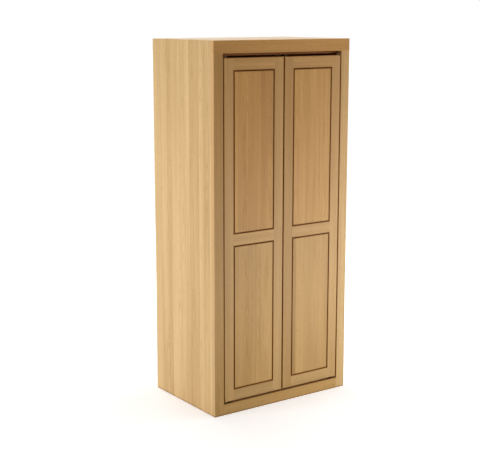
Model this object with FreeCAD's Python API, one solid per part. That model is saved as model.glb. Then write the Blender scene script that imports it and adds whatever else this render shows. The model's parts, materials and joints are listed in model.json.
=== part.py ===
import FreeCAD, Part
import math
import os

# Oak broom cupboard with a face frame and two inset panelled doors that turn on pivots.
# Millimetres. +Z is up, the doors face -Y, and the origin is the middle of the base on the floor.
# Left and right are as seen from the front. Left-hand pieces are drawn, right-hand ones mirrored.

os.makedirs("parts", exist_ok=True)

# ---------------------------------------------------------------- driving dimensions: the case
CASE_WIDTH = 900.0
CASE_DEPTH = 600.0
CASE_HEIGHT = 2000.0
CASE_BOARD = 22.0            # thickness of sides, top, bottom, fixed shelf, head rail and back rails
HOUSING_DEPTH = 8.0          # how far a board's end is let into its neighbour
BACK_THICKNESS = 8.0
BACK_REBATE_WIDTH = 12.0
BACK_FIT = 0.5               # room round the back panel in its rebate
BACK_BOTTOM_HEIGHT = 20.0    # height of the back panel's lower edge above the floor
BACK_RAIL_HEIGHT = 70.0

# ---------------------------------------------------------------- driving dimensions: the face frame
FRAME_THICKNESS = 26.0
FRAME_STILE_WIDTH = 58.0
TOP_RAIL_HEIGHT = 66.0
BOTTOM_RAIL_HEIGHT = 62.0
FRAME_TENON_LENGTH = 30.0
FRAME_TENON_THICKNESS = 10.0
FRAME_TENON_SHOULDER = 10.0  # from the edge of a rail or stile to the edge of its tenon
TENON_FIT = 0.1
ARRIS_RADIUS = 1.0           # rounding of every outer edge that a hand meets
HEAD_RAIL_DROP = 13.0        # how far the recessed head rail reaches below the top rail

DOWEL_RADIUS = 4.0
DOWEL_LENGTH = 30.0
DOWEL_IN_FRAME = 12.0        # the dowel's length in the face frame; the rest is in the case
DOWEL_FIT = 0.05
SIDE_DOWEL_COUNT = 7
RAIL_DOWEL_COUNT = 4
DOWEL_END_MARGIN = 120.0     # from a board's end to its first dowel

# ---------------------------------------------------------------- driving dimensions: the doors
DOOR_THICKNESS = 22.0
DOOR_SIDE_GAP = 5.0
DOOR_CENTRE_GAP = 6.0
DOOR_BOTTOM_GAP = 9.0
DOOR_TOP_GAP = 10.0          # between the door's top edge and the head rail
DOOR_STILE_WIDTH = 61.0
DOOR_RAIL_HEIGHT = 64.0
LOWER_FIELD_HEIGHT = 792.0   # opening between the bottom rail and the middle rail
SHADOW_GROOVE = 5.0          # width of the groove round each panel's raised field
TONGUE_FRONT = 8.0           # from the door's face to the front of the panels' tongues
TONGUE_THICKNESS = 6.0
TONGUE_ENTRY = 8.0           # how far a tongue reaches into the framing
PANEL_GROOVE_DEPTH = 10.0
GROOVE_FIT = 0.1             # room on each side of a tongue or tenon in the framing's groove
DOOR_TENON_REACH = 44.0      # from a rail's grooved edge to the far edge of its tenons

# ---------------------------------------------------------------- driving dimensions: the pivots
PIVOT_INSET = 14.0           # from the door's outer edge to the pivot's axis
PIN_RADIUS = 4.0
PIN_ENTRY = 14.0             # how far a pin reaches into the door
RUNNING_CLEARANCE = 0.05     # radial, pin to bush
BUSH_WALL = 2.0
BUSH_LENGTH = 16.0
FLANGE_RADIUS = 9.0
FLANGE_THICKNESS = 1.5
WASHER_THICKNESS = 1.5
SHOULDER_RADIUS = 7.0
THRUST_CLEARANCE = 0.1
PLATE_THICKNESS = 3.0
PLATE_WIDTH = 18.0
PLATE_LENGTH = 52.0
PLATE_FIT = 0.2
PLATE_SCREW_PITCH = 10.0
PLATE_SCREW_SETBACK = 6.0    # from the far end of a plate to its nearer screw
FIXED_FIT = 0.02             # radial, pin to plate

# ---------------------------------------------------------------- driving dimensions: the catches
CATCH_WIDTH = 44.0
CATCH_CORE_WIDTH = 28.0
CATCH_HEIGHT = 20.0
CATCH_DEPTH = 20.0
CATCH_EAR_HEIGHT = 4.0
CATCH_INSET = 30.0           # from the cupboard's middle to the middle of each catch
MAGNET_WIDTH = 22.0
MAGNET_HEIGHT = 7.0
MAGNET_DEPTH = 6.0
MAGNET_EDGE = 11.0           # from the mounting face to the near edge of the magnet
MAGNET_FIT = 0.1
STRIKE_WIDTH = 36.0
STRIKE_HEIGHT = 9.0
STRIKE_THICKNESS = 1.5
STRIKE_SCREW_PITCH = 26.0
CATCH_CLEARANCE = 0.3        # between magnet and strike with the door shut

# ---------------------------------------------------------------- driving dimensions: the fittings inside
INNER_SETBACK = 20.0         # from the face frame's back to the partition and the fixed shelf
TOP_COMPARTMENT_HEIGHT = 358.0
PARTITION_THICKNESS = 18.0
PARTITION_OFFSET = 30.0      # from the cupboard's middle to the partition's middle
SHELF_THICKNESS = 18.0
SHELF_SETBACK = 22.0         # from the partition's front edge to a loose shelf's front edge
SHELF_END_GAP = 1.0
SHELF_NAMES = ("shelf_lower", "shelf_middle", "shelf_upper")
SHELF_PIN_RADIUS = 2.5
SHELF_PIN_LENGTH = 16.0
SHELF_PIN_ENTRY = 8.0
SHELF_PIN_FIT = 0.05
SHELF_PIN_INSET = 60.0       # from a shelf's front or back edge to its pins
SHELF_HOLE_PITCH = 50.0
SHELF_HOLE_STEPS = (-1, 0, 1)
PEG_RAIL_HEIGHT = 90.0
PEG_RAIL_THICKNESS = 18.0
PEG_RAIL_DROP = 110.0        # from the fixed shelf to the peg rail's upper edge
PEG_RAIL_END_GAP = 0.5
PEG_NAMES = ("broom_peg_left", "broom_peg_middle", "broom_peg_right")
PEG_TENON_RADIUS = 6.0
PEG_TENON_LENGTH = 16.0
PEG_COLLAR_RADIUS = 10.0
PEG_COLLAR_LENGTH = 5.0
PEG_NECK_RADIUS = 6.0
PEG_NECK_POSITION = 34.0     # from the rail's face to the narrowest place
PEG_LENGTH = 66.0
PEG_KNOB_RADIUS = 11.0
PEG_RISE_DEGREES = 8.0
PEG_FIT = 0.3

# ---------------------------------------------------------------- driving dimensions: screws and wall holes
SMALL_SCREW_RADIUS = 1.5
SMALL_SCREW_LENGTH = 12.0
LARGE_SCREW_RADIUS = 2.0
LARGE_SCREW_LENGTH = 18.0
SCREW_FIT = 0.05
BACK_SCREW_PITCH = 300.0     # greatest distance between two screws of the back panel
BACK_SCREW_END = 60.0        # from the back panel's end to its first screw
WALL_HOLE_RADIUS = 2.75
WALL_HOLE_SPACING = 600.0

# ---------------------------------------------------------------- places worked out from them
ORIGIN = FreeCAD.Vector(0.0, 0.0, 0.0)
AXIS_X = FreeCAD.Vector(1.0, 0.0, 0.0)
AXIS_Y = FreeCAD.Vector(0.0, 1.0, 0.0)
AXIS_Z = FreeCAD.Vector(0.0, 0.0, 1.0)

HALF_WIDTH = CASE_WIDTH / 2
FRONT = -CASE_DEPTH / 2
BACK = CASE_DEPTH / 2
FRAME_BACK = FRONT + FRAME_THICKNESS
BACK_PANEL_FRONT = BACK - BACK_THICKNESS
INNER_HALF = HALF_WIDTH - CASE_BOARD
HOUSED_HALF = INNER_HALF + HOUSING_DEPTH
REBATE_HALF = INNER_HALF + BACK_REBATE_WIDTH
OPENING_HALF = HALF_WIDTH - FRAME_STILE_WIDTH

TOP_UNDERSIDE = CASE_HEIGHT - CASE_BOARD
TOP_RAIL_BOTTOM = CASE_HEIGHT - TOP_RAIL_HEIGHT
HEAD_RAIL_BOTTOM = TOP_RAIL_BOTTOM - HEAD_RAIL_DROP
FLOOR_TOP = BOTTOM_RAIL_HEIGHT
FLOOR_UNDERSIDE = FLOOR_TOP - CASE_BOARD
BACK_REBATE_TOP = TOP_UNDERSIDE + BACK_REBATE_WIDTH

DOOR_BOTTOM = BOTTOM_RAIL_HEIGHT + DOOR_BOTTOM_GAP
DOOR_TOP = HEAD_RAIL_BOTTOM - DOOR_TOP_GAP
DOOR_OUTER = OPENING_HALF - DOOR_SIDE_GAP
DOOR_INNER = DOOR_CENTRE_GAP / 2
DOOR_BACK = FRONT + DOOR_THICKNESS
LOWER_FIELD_BOTTOM = DOOR_BOTTOM + DOOR_RAIL_HEIGHT
MIDDLE_RAIL_BOTTOM = LOWER_FIELD_BOTTOM + LOWER_FIELD_HEIGHT
MIDDLE_RAIL_TOP = MIDDLE_RAIL_BOTTOM + DOOR_RAIL_HEIGHT
UPPER_FIELD_TOP = DOOR_TOP - DOOR_RAIL_HEIGHT

PIVOT_X = DOOR_OUTER - PIVOT_INSET
PIVOT_Y = FRONT + DOOR_THICKNESS / 2
BUSH_RADIUS = PIN_RADIUS + RUNNING_CLEARANCE + BUSH_WALL

SHELF_TOP = TOP_UNDERSIDE - TOP_COMPARTMENT_HEIGHT
SHELF_UNDERSIDE = SHELF_TOP - CASE_BOARD
INNER_FRONT = FRAME_BACK + INNER_SETBACK
PARTITION_LEFT = PARTITION_OFFSET - PARTITION_THICKNESS / 2
PARTITION_RIGHT = PARTITION_OFFSET + PARTITION_THICKNESS / 2
SHELF_FRONT = INNER_FRONT + SHELF_SETBACK
PIN_ROWS = (SHELF_FRONT + SHELF_PIN_INSET, BACK_PANEL_FRONT - SHELF_PIN_INSET)
BAY_HEIGHT = SHELF_UNDERSIDE - FLOOR_TOP
SHELF_SPACE = (BAY_HEIGHT - len(SHELF_NAMES) * SHELF_THICKNESS) / (len(SHELF_NAMES) + 1)
PEG_RAIL_TOP = SHELF_UNDERSIDE - PEG_RAIL_DROP
PEG_RAIL_FRONT = BACK_PANEL_FRONT - PEG_RAIL_THICKNESS
BACK_RAIL_FRONT = BACK_PANEL_FRONT - CASE_BOARD


# ---------------------------------------------------------------- helpers
def block(x_span, y_span, z_span):
    """Return the box that fills three spans, each given as its two ends in any order."""
    spans = [sorted(span) for span in (x_span, y_span, z_span)]
    corner = FreeCAD.Vector(*[low for low, high in spans])
    return Part.makeBox(*[high - low for low, high in spans], corner)


def carve(body, tools):
    """Return the body with every tool cut away, as one solid."""
    return body.cut(list(tools)).removeSplitter().Solids[0]


def join(body, pieces):
    """Return the body and the pieces as one solid."""
    return body.fuse(list(pieces)).removeSplitter().Solids[0]


def mirrored(shape):
    """Return the right-hand twin of a left-hand shape."""
    return shape.mirror(ORIGIN, AXIS_X)


def lies_on(edge, place):
    """Tell whether both ends of an edge have the coordinates that place gives."""
    near = 1e-6
    return all(abs(getattr(vertex, axis) - value) < near
               for vertex in edge.Vertexes for axis, value in place.items())


def eased(shape, places):
    """Return the shape with the edges at the given places rounded to the arris radius."""
    edges = [edge for edge in shape.Edges
             if any(lies_on(edge, place) for place in places)]
    return shape.makeFillet(ARRIS_RADIUS, edges)


def evenly(low, high, count):
    """Return count places from low to high, both included."""
    step = (high - low) / (count - 1)
    return [low + step * index for index in range(count)]


def save(node, solids):
    """Write one piece, or a group of like pieces, as the node's STEP file."""
    shape = solids[0] if len(solids) == 1 else Part.makeCompound(list(solids))
    shape.exportStep("parts/" + node + ".step")


def save_pair(node, left_shape, right_shape=None):
    """Write a left-hand piece, and its twin unless a right-hand piece is given."""
    save(node + "_left", [left_shape])
    save(node + "_right", [right_shape or mirrored(left_shape)])


def screw(place, direction, radius, length, room=0.0):
    """Return a countersunk screw, its head flush at place; with room, the hole that it fills."""
    shank_radius = radius + room
    head = Part.makeCone(2 * shank_radius, shank_radius, shank_radius, place, direction)
    shank = Part.makeCylinder(shank_radius, length + room, place, direction)
    return head.fuse(shank).removeSplitter().Solids[0]


def small_screw(place, direction, room=0.0):
    """Return a small screw, or its hole."""
    return screw(place, direction, SMALL_SCREW_RADIUS, SMALL_SCREW_LENGTH, room)


def large_screw(place, direction, room=0.0):
    """Return a large screw, or its hole."""
    return screw(place, direction, LARGE_SCREW_RADIUS, LARGE_SCREW_LENGTH, room)


# ---------------------------------------------------------------- places of dowels, screws and pins
def side_dowel_places():
    """Return where dowels join the left frame stile to the left side."""
    heights = evenly(DOWEL_END_MARGIN, TOP_RAIL_BOTTOM - DOWEL_END_MARGIN, SIDE_DOWEL_COUNT)
    return [FreeCAD.Vector(-HALF_WIDTH + CASE_BOARD / 2, FRAME_BACK, height) for height in heights]


def rail_dowel_places(height):
    """Return where dowels join a frame rail to the board behind it."""
    reach = INNER_HALF - DOWEL_END_MARGIN
    return [FreeCAD.Vector(x, FRAME_BACK, height) for x in evenly(-reach, reach, RAIL_DOWEL_COUNT)]


TOP_DOWELS = rail_dowel_places((TOP_RAIL_BOTTOM + TOP_UNDERSIDE) / 2)
BOTTOM_DOWELS = rail_dowel_places((FLOOR_UNDERSIDE + FLOOR_TOP) / 2)


def dowel(place, room=0.0):
    """Return one dowel across the joint at place; with room, the hole that it fills."""
    start = place - AXIS_Y * (DOWEL_IN_FRAME + room)
    return Part.makeCylinder(DOWEL_RADIUS + room, DOWEL_LENGTH + 2 * room, start, AXIS_Y)


def dowel_holes(places):
    """Return the holes for a row of dowels."""
    return [dowel(place, DOWEL_FIT) for place in places]


def shelf_underside(index):
    """Return the height of a loose shelf's underside."""
    return FLOOR_TOP + SHELF_SPACE + index * (SHELF_THICKNESS + SHELF_SPACE)


def shelf_pin_places(wall_x, steps):
    """Return where pins enter a wall, for each shelf, pin row and step up or down."""
    return [FreeCAD.Vector(wall_x, row, shelf_underside(index) - SHELF_PIN_RADIUS + step * SHELF_HOLE_PITCH)
            for index in range(len(SHELF_NAMES)) for row in PIN_ROWS for step in steps]


def shelf_pin_holes(wall_x, into_wall):
    """Return the rows of pin holes in a wall."""
    radius = SHELF_PIN_RADIUS + SHELF_PIN_FIT
    depth = SHELF_PIN_ENTRY + SHELF_PIN_FIT
    return [Part.makeCylinder(radius, depth, place, into_wall)
            for place in shelf_pin_places(wall_x, SHELF_HOLE_STEPS)]


def back_screw_places():
    """Return where the back panel is screwed to the sides, and to the boards that it covers."""
    low = BACK_BOTTOM_HEIGHT + BACK_SCREW_END
    high = TOP_UNDERSIDE - BACK_SCREW_END
    count = math.ceil((high - low) / BACK_SCREW_PITCH) + 1
    edge_x = INNER_HALF + BACK_REBATE_WIDTH / 2
    heights = evenly(low, high, count)
    edges = [FreeCAD.Vector(side * edge_x, BACK, height) for side in (-1, 1) for height in heights]
    reach = INNER_HALF - BACK_SCREW_END
    board_count = math.ceil(2 * reach / BACK_SCREW_PITCH) + 1
    board_heights = ((FLOOR_UNDERSIDE + FLOOR_TOP) / 2, SHELF_UNDERSIDE + CASE_BOARD / 2)
    boards = [FreeCAD.Vector(x, BACK, height)
              for height in board_heights for x in evenly(-reach, reach, board_count)]
    return edges + boards


def back_screw_holes():
    """Return the holes for the back panel's screws."""
    return [large_screw(place, -AXIS_Y, SCREW_FIT) for place in back_screw_places()]


def wall_holes():
    """Return the two holes through which the cupboard is screwed to a wall."""
    height = TOP_UNDERSIDE - BACK_RAIL_HEIGHT / 2
    starts = [FreeCAD.Vector(side * WALL_HOLE_SPACING / 2, BACK_RAIL_FRONT, height) for side in (-1, 1)]
    return [Part.makeCylinder(WALL_HOLE_RADIUS, BACK - BACK_RAIL_FRONT, start, AXIS_Y) for start in starts]


# ---------------------------------------------------------------- case
def side_panel():
    """Return the left side, let out for the top, the bottom, the fixed shelf and the back."""
    board = block((-HALF_WIDTH, -INNER_HALF), (FRAME_BACK, BACK), (0.0, CASE_HEIGHT))
    board = eased(board, [{"X": -HALF_WIDTH, "Z": CASE_HEIGHT}, {"X": -HALF_WIDTH, "Y": BACK}])
    housed = (-HOUSED_HALF, -INNER_HALF)
    cuts = [
        block(housed, (FRAME_BACK, BACK), (TOP_UNDERSIDE, CASE_HEIGHT)),
        block(housed, (FRAME_BACK, BACK_PANEL_FRONT), (FLOOR_UNDERSIDE, FLOOR_TOP)),
        block(housed, (INNER_FRONT, BACK_PANEL_FRONT), (SHELF_UNDERSIDE, SHELF_TOP)),
        block((-REBATE_HALF, -INNER_HALF), (BACK_PANEL_FRONT, BACK), (BACK_BOTTOM_HEIGHT, BACK_REBATE_TOP)),
    ]
    return carve(board, cuts + dowel_holes(side_dowel_places()) + back_screw_holes())


def right_side_panel():
    """Return the right side, which also has the holes for the shelf pins."""
    return carve(mirrored(side_panel()), shelf_pin_holes(INNER_HALF, AXIS_X))


def top_panel():
    """Return the top, rebated at the back for the back panel."""
    board = block((-HOUSED_HALF, HOUSED_HALF), (FRAME_BACK, BACK), (TOP_UNDERSIDE, CASE_HEIGHT))
    board = eased(board, [{"Y": BACK, "Z": CASE_HEIGHT}])
    rebate = block((-HOUSED_HALF, HOUSED_HALF), (BACK_PANEL_FRONT, BACK), (TOP_UNDERSIDE, BACK_REBATE_TOP))
    return carve(board, [rebate])


def partition_span():
    """Return the partition's span in X."""
    return (PARTITION_LEFT, PARTITION_RIGHT)


def bottom_panel():
    """Return the bottom, with a housing for the partition and holes for the lower catches."""
    board = block((-HOUSED_HALF, HOUSED_HALF), (FRAME_BACK, BACK_PANEL_FRONT), (FLOOR_UNDERSIDE, FLOOR_TOP))
    housing = block(partition_span(), (INNER_FRONT, BACK_PANEL_FRONT), (FLOOR_TOP - HOUSING_DEPTH, FLOOR_TOP))
    screws = catch_screws(FLOOR_TOP, 1, SCREW_FIT)
    return carve(board, [housing] + dowel_holes(BOTTOM_DOWELS) + back_screw_holes() + screws)


def top_shelf():
    """Return the fixed shelf, with a housing underneath for the partition."""
    board = block((-HOUSED_HALF, HOUSED_HALF), (INNER_FRONT, BACK_PANEL_FRONT), (SHELF_UNDERSIDE, SHELF_TOP))
    board = eased(board, [{"Y": INNER_FRONT, "Z": SHELF_TOP}, {"Y": INNER_FRONT, "Z": SHELF_UNDERSIDE}])
    housing = block(partition_span(), (INNER_FRONT, BACK_PANEL_FRONT),
                    (SHELF_UNDERSIDE, SHELF_UNDERSIDE + HOUSING_DEPTH))
    return carve(board, [housing] + back_screw_holes())


def back_panel():
    """Return the back, with its screw holes and the wall holes."""
    reach = REBATE_HALF - BACK_FIT
    top = BACK_REBATE_TOP - BACK_FIT
    board = block((-reach, reach), (BACK_PANEL_FRONT, BACK), (BACK_BOTTOM_HEIGHT + BACK_FIT, top))
    return carve(board, back_screw_holes() + wall_holes())


def back_rail(low, high):
    """Return a rail between the sides, against the back panel."""
    return block((-INNER_HALF, INNER_HALF), (BACK_RAIL_FRONT, BACK_PANEL_FRONT), (low, high))


def head_rail():
    """Return the recessed rail over the doors, which carries the upper plates and catches."""
    board = block((-INNER_HALF, INNER_HALF), (FRAME_BACK, FRAME_BACK + CASE_BOARD),
                  (HEAD_RAIL_BOTTOM, TOP_UNDERSIDE))
    screws = plate_screws_top(SCREW_FIT) + catch_screws(HEAD_RAIL_BOTTOM, -1, SCREW_FIT)
    return carve(board, dowel_holes(TOP_DOWELS) + screws)


# ---------------------------------------------------------------- face frame
def tenon_y(room=0.0):
    """Return the span in Y of the frame's tenons, or of their mortises."""
    middle = FRONT + FRAME_THICKNESS / 2
    reach = FRAME_TENON_THICKNESS / 2 + room
    return (middle - reach, middle + reach)


def stile_tenon(room=0.0):
    """Return the tenon on top of the left frame stile, or its mortise."""
    return block((-HALF_WIDTH + FRAME_TENON_SHOULDER - room, -OPENING_HALF - FRAME_TENON_SHOULDER + room),
                 tenon_y(room), (TOP_RAIL_BOTTOM, TOP_RAIL_BOTTOM + FRAME_TENON_LENGTH + room))


def rail_tenon(room=0.0):
    """Return the tenon at the left end of the bottom rail, or its mortise."""
    return block((-OPENING_HALF - FRAME_TENON_LENGTH - room, -OPENING_HALF), tenon_y(room),
                 (FRAME_TENON_SHOULDER - room, BOTTOM_RAIL_HEIGHT - FRAME_TENON_SHOULDER + room))


def frame_stile():
    """Return the left frame stile, from the floor to the top rail."""
    board = block((-HALF_WIDTH, -OPENING_HALF), (FRONT, FRAME_BACK), (0.0, TOP_RAIL_BOTTOM))
    board = eased(board, [{"X": -HALF_WIDTH, "Y": FRONT}])
    board = join(board, [stile_tenon()])
    return carve(board, [rail_tenon(TENON_FIT)] + dowel_holes(side_dowel_places()))


def frame_top_rail():
    """Return the top rail, which runs over the ends of both stiles."""
    board = block((-HALF_WIDTH, HALF_WIDTH), (FRONT, FRAME_BACK), (TOP_RAIL_BOTTOM, CASE_HEIGHT))
    board = eased(board, [{"Y": FRONT, "Z": CASE_HEIGHT}, {"X": -HALF_WIDTH, "Y": FRONT},
                          {"X": HALF_WIDTH, "Y": FRONT}])
    mortise = stile_tenon(TENON_FIT)
    return carve(board, [mortise, mirrored(mortise)] + dowel_holes(TOP_DOWELS))


def frame_bottom_rail():
    """Return the bottom rail, let in at both ends for the lower pivot plates."""
    board = block((-OPENING_HALF, OPENING_HALF), (FRONT, FRAME_BACK), (0.0, BOTTOM_RAIL_HEIGHT))
    board = join(board, [rail_tenon(), mirrored(rail_tenon())])
    cuts = [plate_recess(), mirrored(plate_recess())]
    return carve(board, cuts + dowel_holes(BOTTOM_DOWELS) + plate_screws_bottom(SCREW_FIT))


# ---------------------------------------------------------------- pivots
def plate_blank(x_reach, y_reach, low, room=0.0):
    """Return a plate that is round at the pivot and runs in X or Y from there."""
    round_end = Part.makeCylinder(PLATE_WIDTH / 2 + room, PLATE_THICKNESS,
                                  FreeCAD.Vector(-PIVOT_X, PIVOT_Y, low), AXIS_Z)
    half = PLATE_WIDTH / 2 + room
    x_span = (-PIVOT_X, -PIVOT_X + x_reach + room) if x_reach else (-PIVOT_X - half, -PIVOT_X + half)
    y_span = (PIVOT_Y, PIVOT_Y + y_reach + room) if y_reach else (PIVOT_Y - half, PIVOT_Y + half)
    return join(round_end, [block(x_span, y_span, (low, low + PLATE_THICKNESS))])


def top_plate_length():
    """Return how far the upper plate runs back from the pivot, to the head rail's back."""
    return FRAME_BACK + CASE_BOARD - PIVOT_Y


def bottom_plate_length():
    """Return how far the lower plate runs from the pivot towards the middle."""
    return PLATE_LENGTH - PLATE_WIDTH / 2


def plate_recess():
    """Return the recess in the bottom rail that the left lower plate lies in."""
    return plate_blank(bottom_plate_length(), 0.0, BOTTOM_RAIL_HEIGHT - PLATE_THICKNESS, PLATE_FIT)


def both_sides(shapes):
    """Return left-hand shapes followed by their right-hand twins."""
    return list(shapes) + [mirrored(shape) for shape in shapes]


def plate_screws_top(room=0.0):
    """Return the screws of the upper plates, or their holes."""
    far = top_plate_length() - PLATE_SCREW_SETBACK
    places = [FreeCAD.Vector(-PIVOT_X, PIVOT_Y + far - back, HEAD_RAIL_BOTTOM - PLATE_THICKNESS)
              for back in (0.0, PLATE_SCREW_PITCH)]
    return both_sides([large_screw(place, AXIS_Z, room) for place in places])


def plate_screws_bottom(room=0.0):
    """Return the screws of the lower plates, or their holes."""
    far = bottom_plate_length() - PLATE_SCREW_SETBACK
    places = [FreeCAD.Vector(-PIVOT_X + far - back, PIVOT_Y, BOTTOM_RAIL_HEIGHT)
              for back in (0.0, PLATE_SCREW_PITCH)]
    return both_sides([large_screw(place, -AXIS_Z, room) for place in places])


def pin_hole(low):
    """Return the hole through a plate for its riveted pin."""
    return Part.makeCylinder(PIN_RADIUS + FIXED_FIT, PLATE_THICKNESS,
                             FreeCAD.Vector(-PIVOT_X, PIVOT_Y, low), AXIS_Z)


def top_plate():
    """Return the left upper plate, screwed under the head rail and reaching over the door."""
    low = HEAD_RAIL_BOTTOM - PLATE_THICKNESS
    blank = plate_blank(0.0, top_plate_length(), low)
    return carve(blank, [pin_hole(low)] + plate_screws_top(SCREW_FIT))


def bottom_plate():
    """Return the left lower plate, flush with the top of the bottom rail."""
    low = BOTTOM_RAIL_HEIGHT - PLATE_THICKNESS
    blank = plate_blank(bottom_plate_length(), 0.0, low)
    return carve(blank, [pin_hole(low)] + plate_screws_bottom(SCREW_FIT))


def top_pin():
    """Return the left upper pin, from its plate down into the door."""
    low = DOOR_TOP - PIN_ENTRY
    place = FreeCAD.Vector(-PIVOT_X, PIVOT_Y, low)
    return Part.makeCylinder(PIN_RADIUS, HEAD_RAIL_BOTTOM - low, place, AXIS_Z)


def washer_bottom():
    """Return the height of the thrust washer's lower face."""
    return DOOR_BOTTOM - FLANGE_THICKNESS - THRUST_CLEARANCE - WASHER_THICKNESS


def bottom_pin():
    """Return the left lower pin, whose shoulder carries the door through the thrust washer."""
    low = BOTTOM_RAIL_HEIGHT - PLATE_THICKNESS
    shaft = Part.makeCylinder(PIN_RADIUS, DOOR_BOTTOM + PIN_ENTRY - low,
                              FreeCAD.Vector(-PIVOT_X, PIVOT_Y, low), AXIS_Z)
    shoulder_top = washer_bottom() - THRUST_CLEARANCE
    shoulder = Part.makeCylinder(SHOULDER_RADIUS, shoulder_top - BOTTOM_RAIL_HEIGHT,
                                 FreeCAD.Vector(-PIVOT_X, PIVOT_Y, BOTTOM_RAIL_HEIGHT), AXIS_Z)
    return join(shaft, [shoulder])


def thrust_washer():
    """Return the left thrust washer."""
    place = FreeCAD.Vector(-PIVOT_X, PIVOT_Y, washer_bottom())
    disc = Part.makeCylinder(FLANGE_RADIUS, WASHER_THICKNESS, place, AXIS_Z)
    return carve(disc, [Part.makeCylinder(PIN_RADIUS + RUNNING_CLEARANCE, WASHER_THICKNESS, place, AXIS_Z)])


def bush(edge_height, into_door):
    """Return a flanged bush in the left door's edge at edge_height."""
    place = FreeCAD.Vector(-PIVOT_X, PIVOT_Y, edge_height)
    rim = place - into_door * FLANGE_THICKNESS
    flange = Part.makeCylinder(FLANGE_RADIUS, FLANGE_THICKNESS, rim, into_door)
    barrel = Part.makeCylinder(BUSH_RADIUS, BUSH_LENGTH, place, into_door)
    bore = Part.makeCylinder(PIN_RADIUS + RUNNING_CLEARANCE, FLANGE_THICKNESS + BUSH_LENGTH, rim, into_door)
    return carve(join(flange, [barrel]), [bore])


def bush_holes():
    """Return the two holes in the left hinge stile that the bushes fill."""
    radius = BUSH_RADIUS + FIXED_FIT
    return [Part.makeCylinder(radius, BUSH_LENGTH, FreeCAD.Vector(-PIVOT_X, PIVOT_Y, DOOR_BOTTOM), AXIS_Z),
            Part.makeCylinder(radius, BUSH_LENGTH, FreeCAD.Vector(-PIVOT_X, PIVOT_Y, DOOR_TOP), -AXIS_Z)]


# ---------------------------------------------------------------- doors
def groove_y(room=0.0):
    """Return the span in Y of the panels' tongues and the rails' tenons, or of their groove."""
    return (FRONT + TONGUE_FRONT - room, FRONT + TONGUE_FRONT + TONGUE_THICKNESS + room)


def door_stile(outer, inner, grooved_edge, into_stile):
    """Return a stile of the left door, with a groove along the edge that faces the panels."""
    board = block((outer, inner), (FRONT, DOOR_BACK), (DOOR_BOTTOM, DOOR_TOP))
    free_edge = outer if grooved_edge == inner else inner
    places = [{"X": free_edge, "Y": FRONT}, {"X": free_edge, "Y": DOOR_BACK},
              {"Y": FRONT, "Z": DOOR_TOP}, {"Y": FRONT, "Z": DOOR_BOTTOM}]
    groove = block((grooved_edge, grooved_edge + into_stile * PANEL_GROOVE_DEPTH), groove_y(GROOVE_FIT),
                   (LOWER_FIELD_BOTTOM - DOOR_TENON_REACH, UPPER_FIELD_TOP + DOOR_TENON_REACH))
    return carve(eased(board, places), [groove])


def hinge_stile():
    """Return the left door's outer stile, bored for the bushes."""
    outer = -DOOR_OUTER
    inner = -DOOR_OUTER + DOOR_STILE_WIDTH
    return carve(door_stile(outer, inner, inner, -1), bush_holes())


def meeting_stile():
    """Return the left door's inner stile, drilled for the strike plates' screws."""
    outer = -DOOR_INNER - DOOR_STILE_WIDTH
    inner = -DOOR_INNER
    return carve(door_stile(outer, inner, outer, 1), strike_screws(SCREW_FIT))


def field_span():
    """Return the span in X between the left door's stiles."""
    return (-DOOR_OUTER + DOOR_STILE_WIDTH, -DOOR_INNER - DOOR_STILE_WIDTH)


def door_rail(low, tenon_span, grooves, free_edges):
    """Return a rail of the left door with a tenon at each end.

    tenon_span is the tenons' span in Z before the panels' grooves are cut.
    grooves holds a pair for each grooved edge: its height, and 1 or -1 for the way into the rail.
    free_edges holds the heights of the front edges that are rounded.
    """
    left, right = field_span()
    high = low + DOOR_RAIL_HEIGHT
    board = block((left, right), (FRONT, DOOR_BACK), (low, high))
    if free_edges:
        board = eased(board, [{"Y": FRONT, "Z": height} for height in free_edges])
    entry = PANEL_GROOVE_DEPTH - GROOVE_FIT
    board = join(board, [block((left - entry, right + entry), groove_y(), tenon_span)])
    reach_left = left - PANEL_GROOVE_DEPTH
    reach_right = right + PANEL_GROOVE_DEPTH
    cuts = [block((reach_left, reach_right), groove_y(GROOVE_FIT), (edge, edge + way * PANEL_GROOVE_DEPTH))
            for edge, way in grooves]
    return carve(board, cuts)


def door_panel(low, high):
    """Return a panel of the left door: a field flush with the framing, on a tongue all round."""
    left, right = field_span()
    tongue_front, tongue_back = groove_y()
    tongue = block((left - TONGUE_ENTRY, right + TONGUE_ENTRY), (tongue_front, tongue_back),
                   (low - TONGUE_ENTRY, high + TONGUE_ENTRY))
    field_x = (left + SHADOW_GROOVE, right - SHADOW_GROOVE)
    field_z = (low + SHADOW_GROOVE, high - SHADOW_GROOVE)
    field = block(field_x, (FRONT, tongue_back), field_z)
    places = [{"X": x, "Y": FRONT} for x in field_x] + [{"Y": FRONT, "Z": z} for z in field_z]
    return join(tongue, [eased(field, places)])


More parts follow.
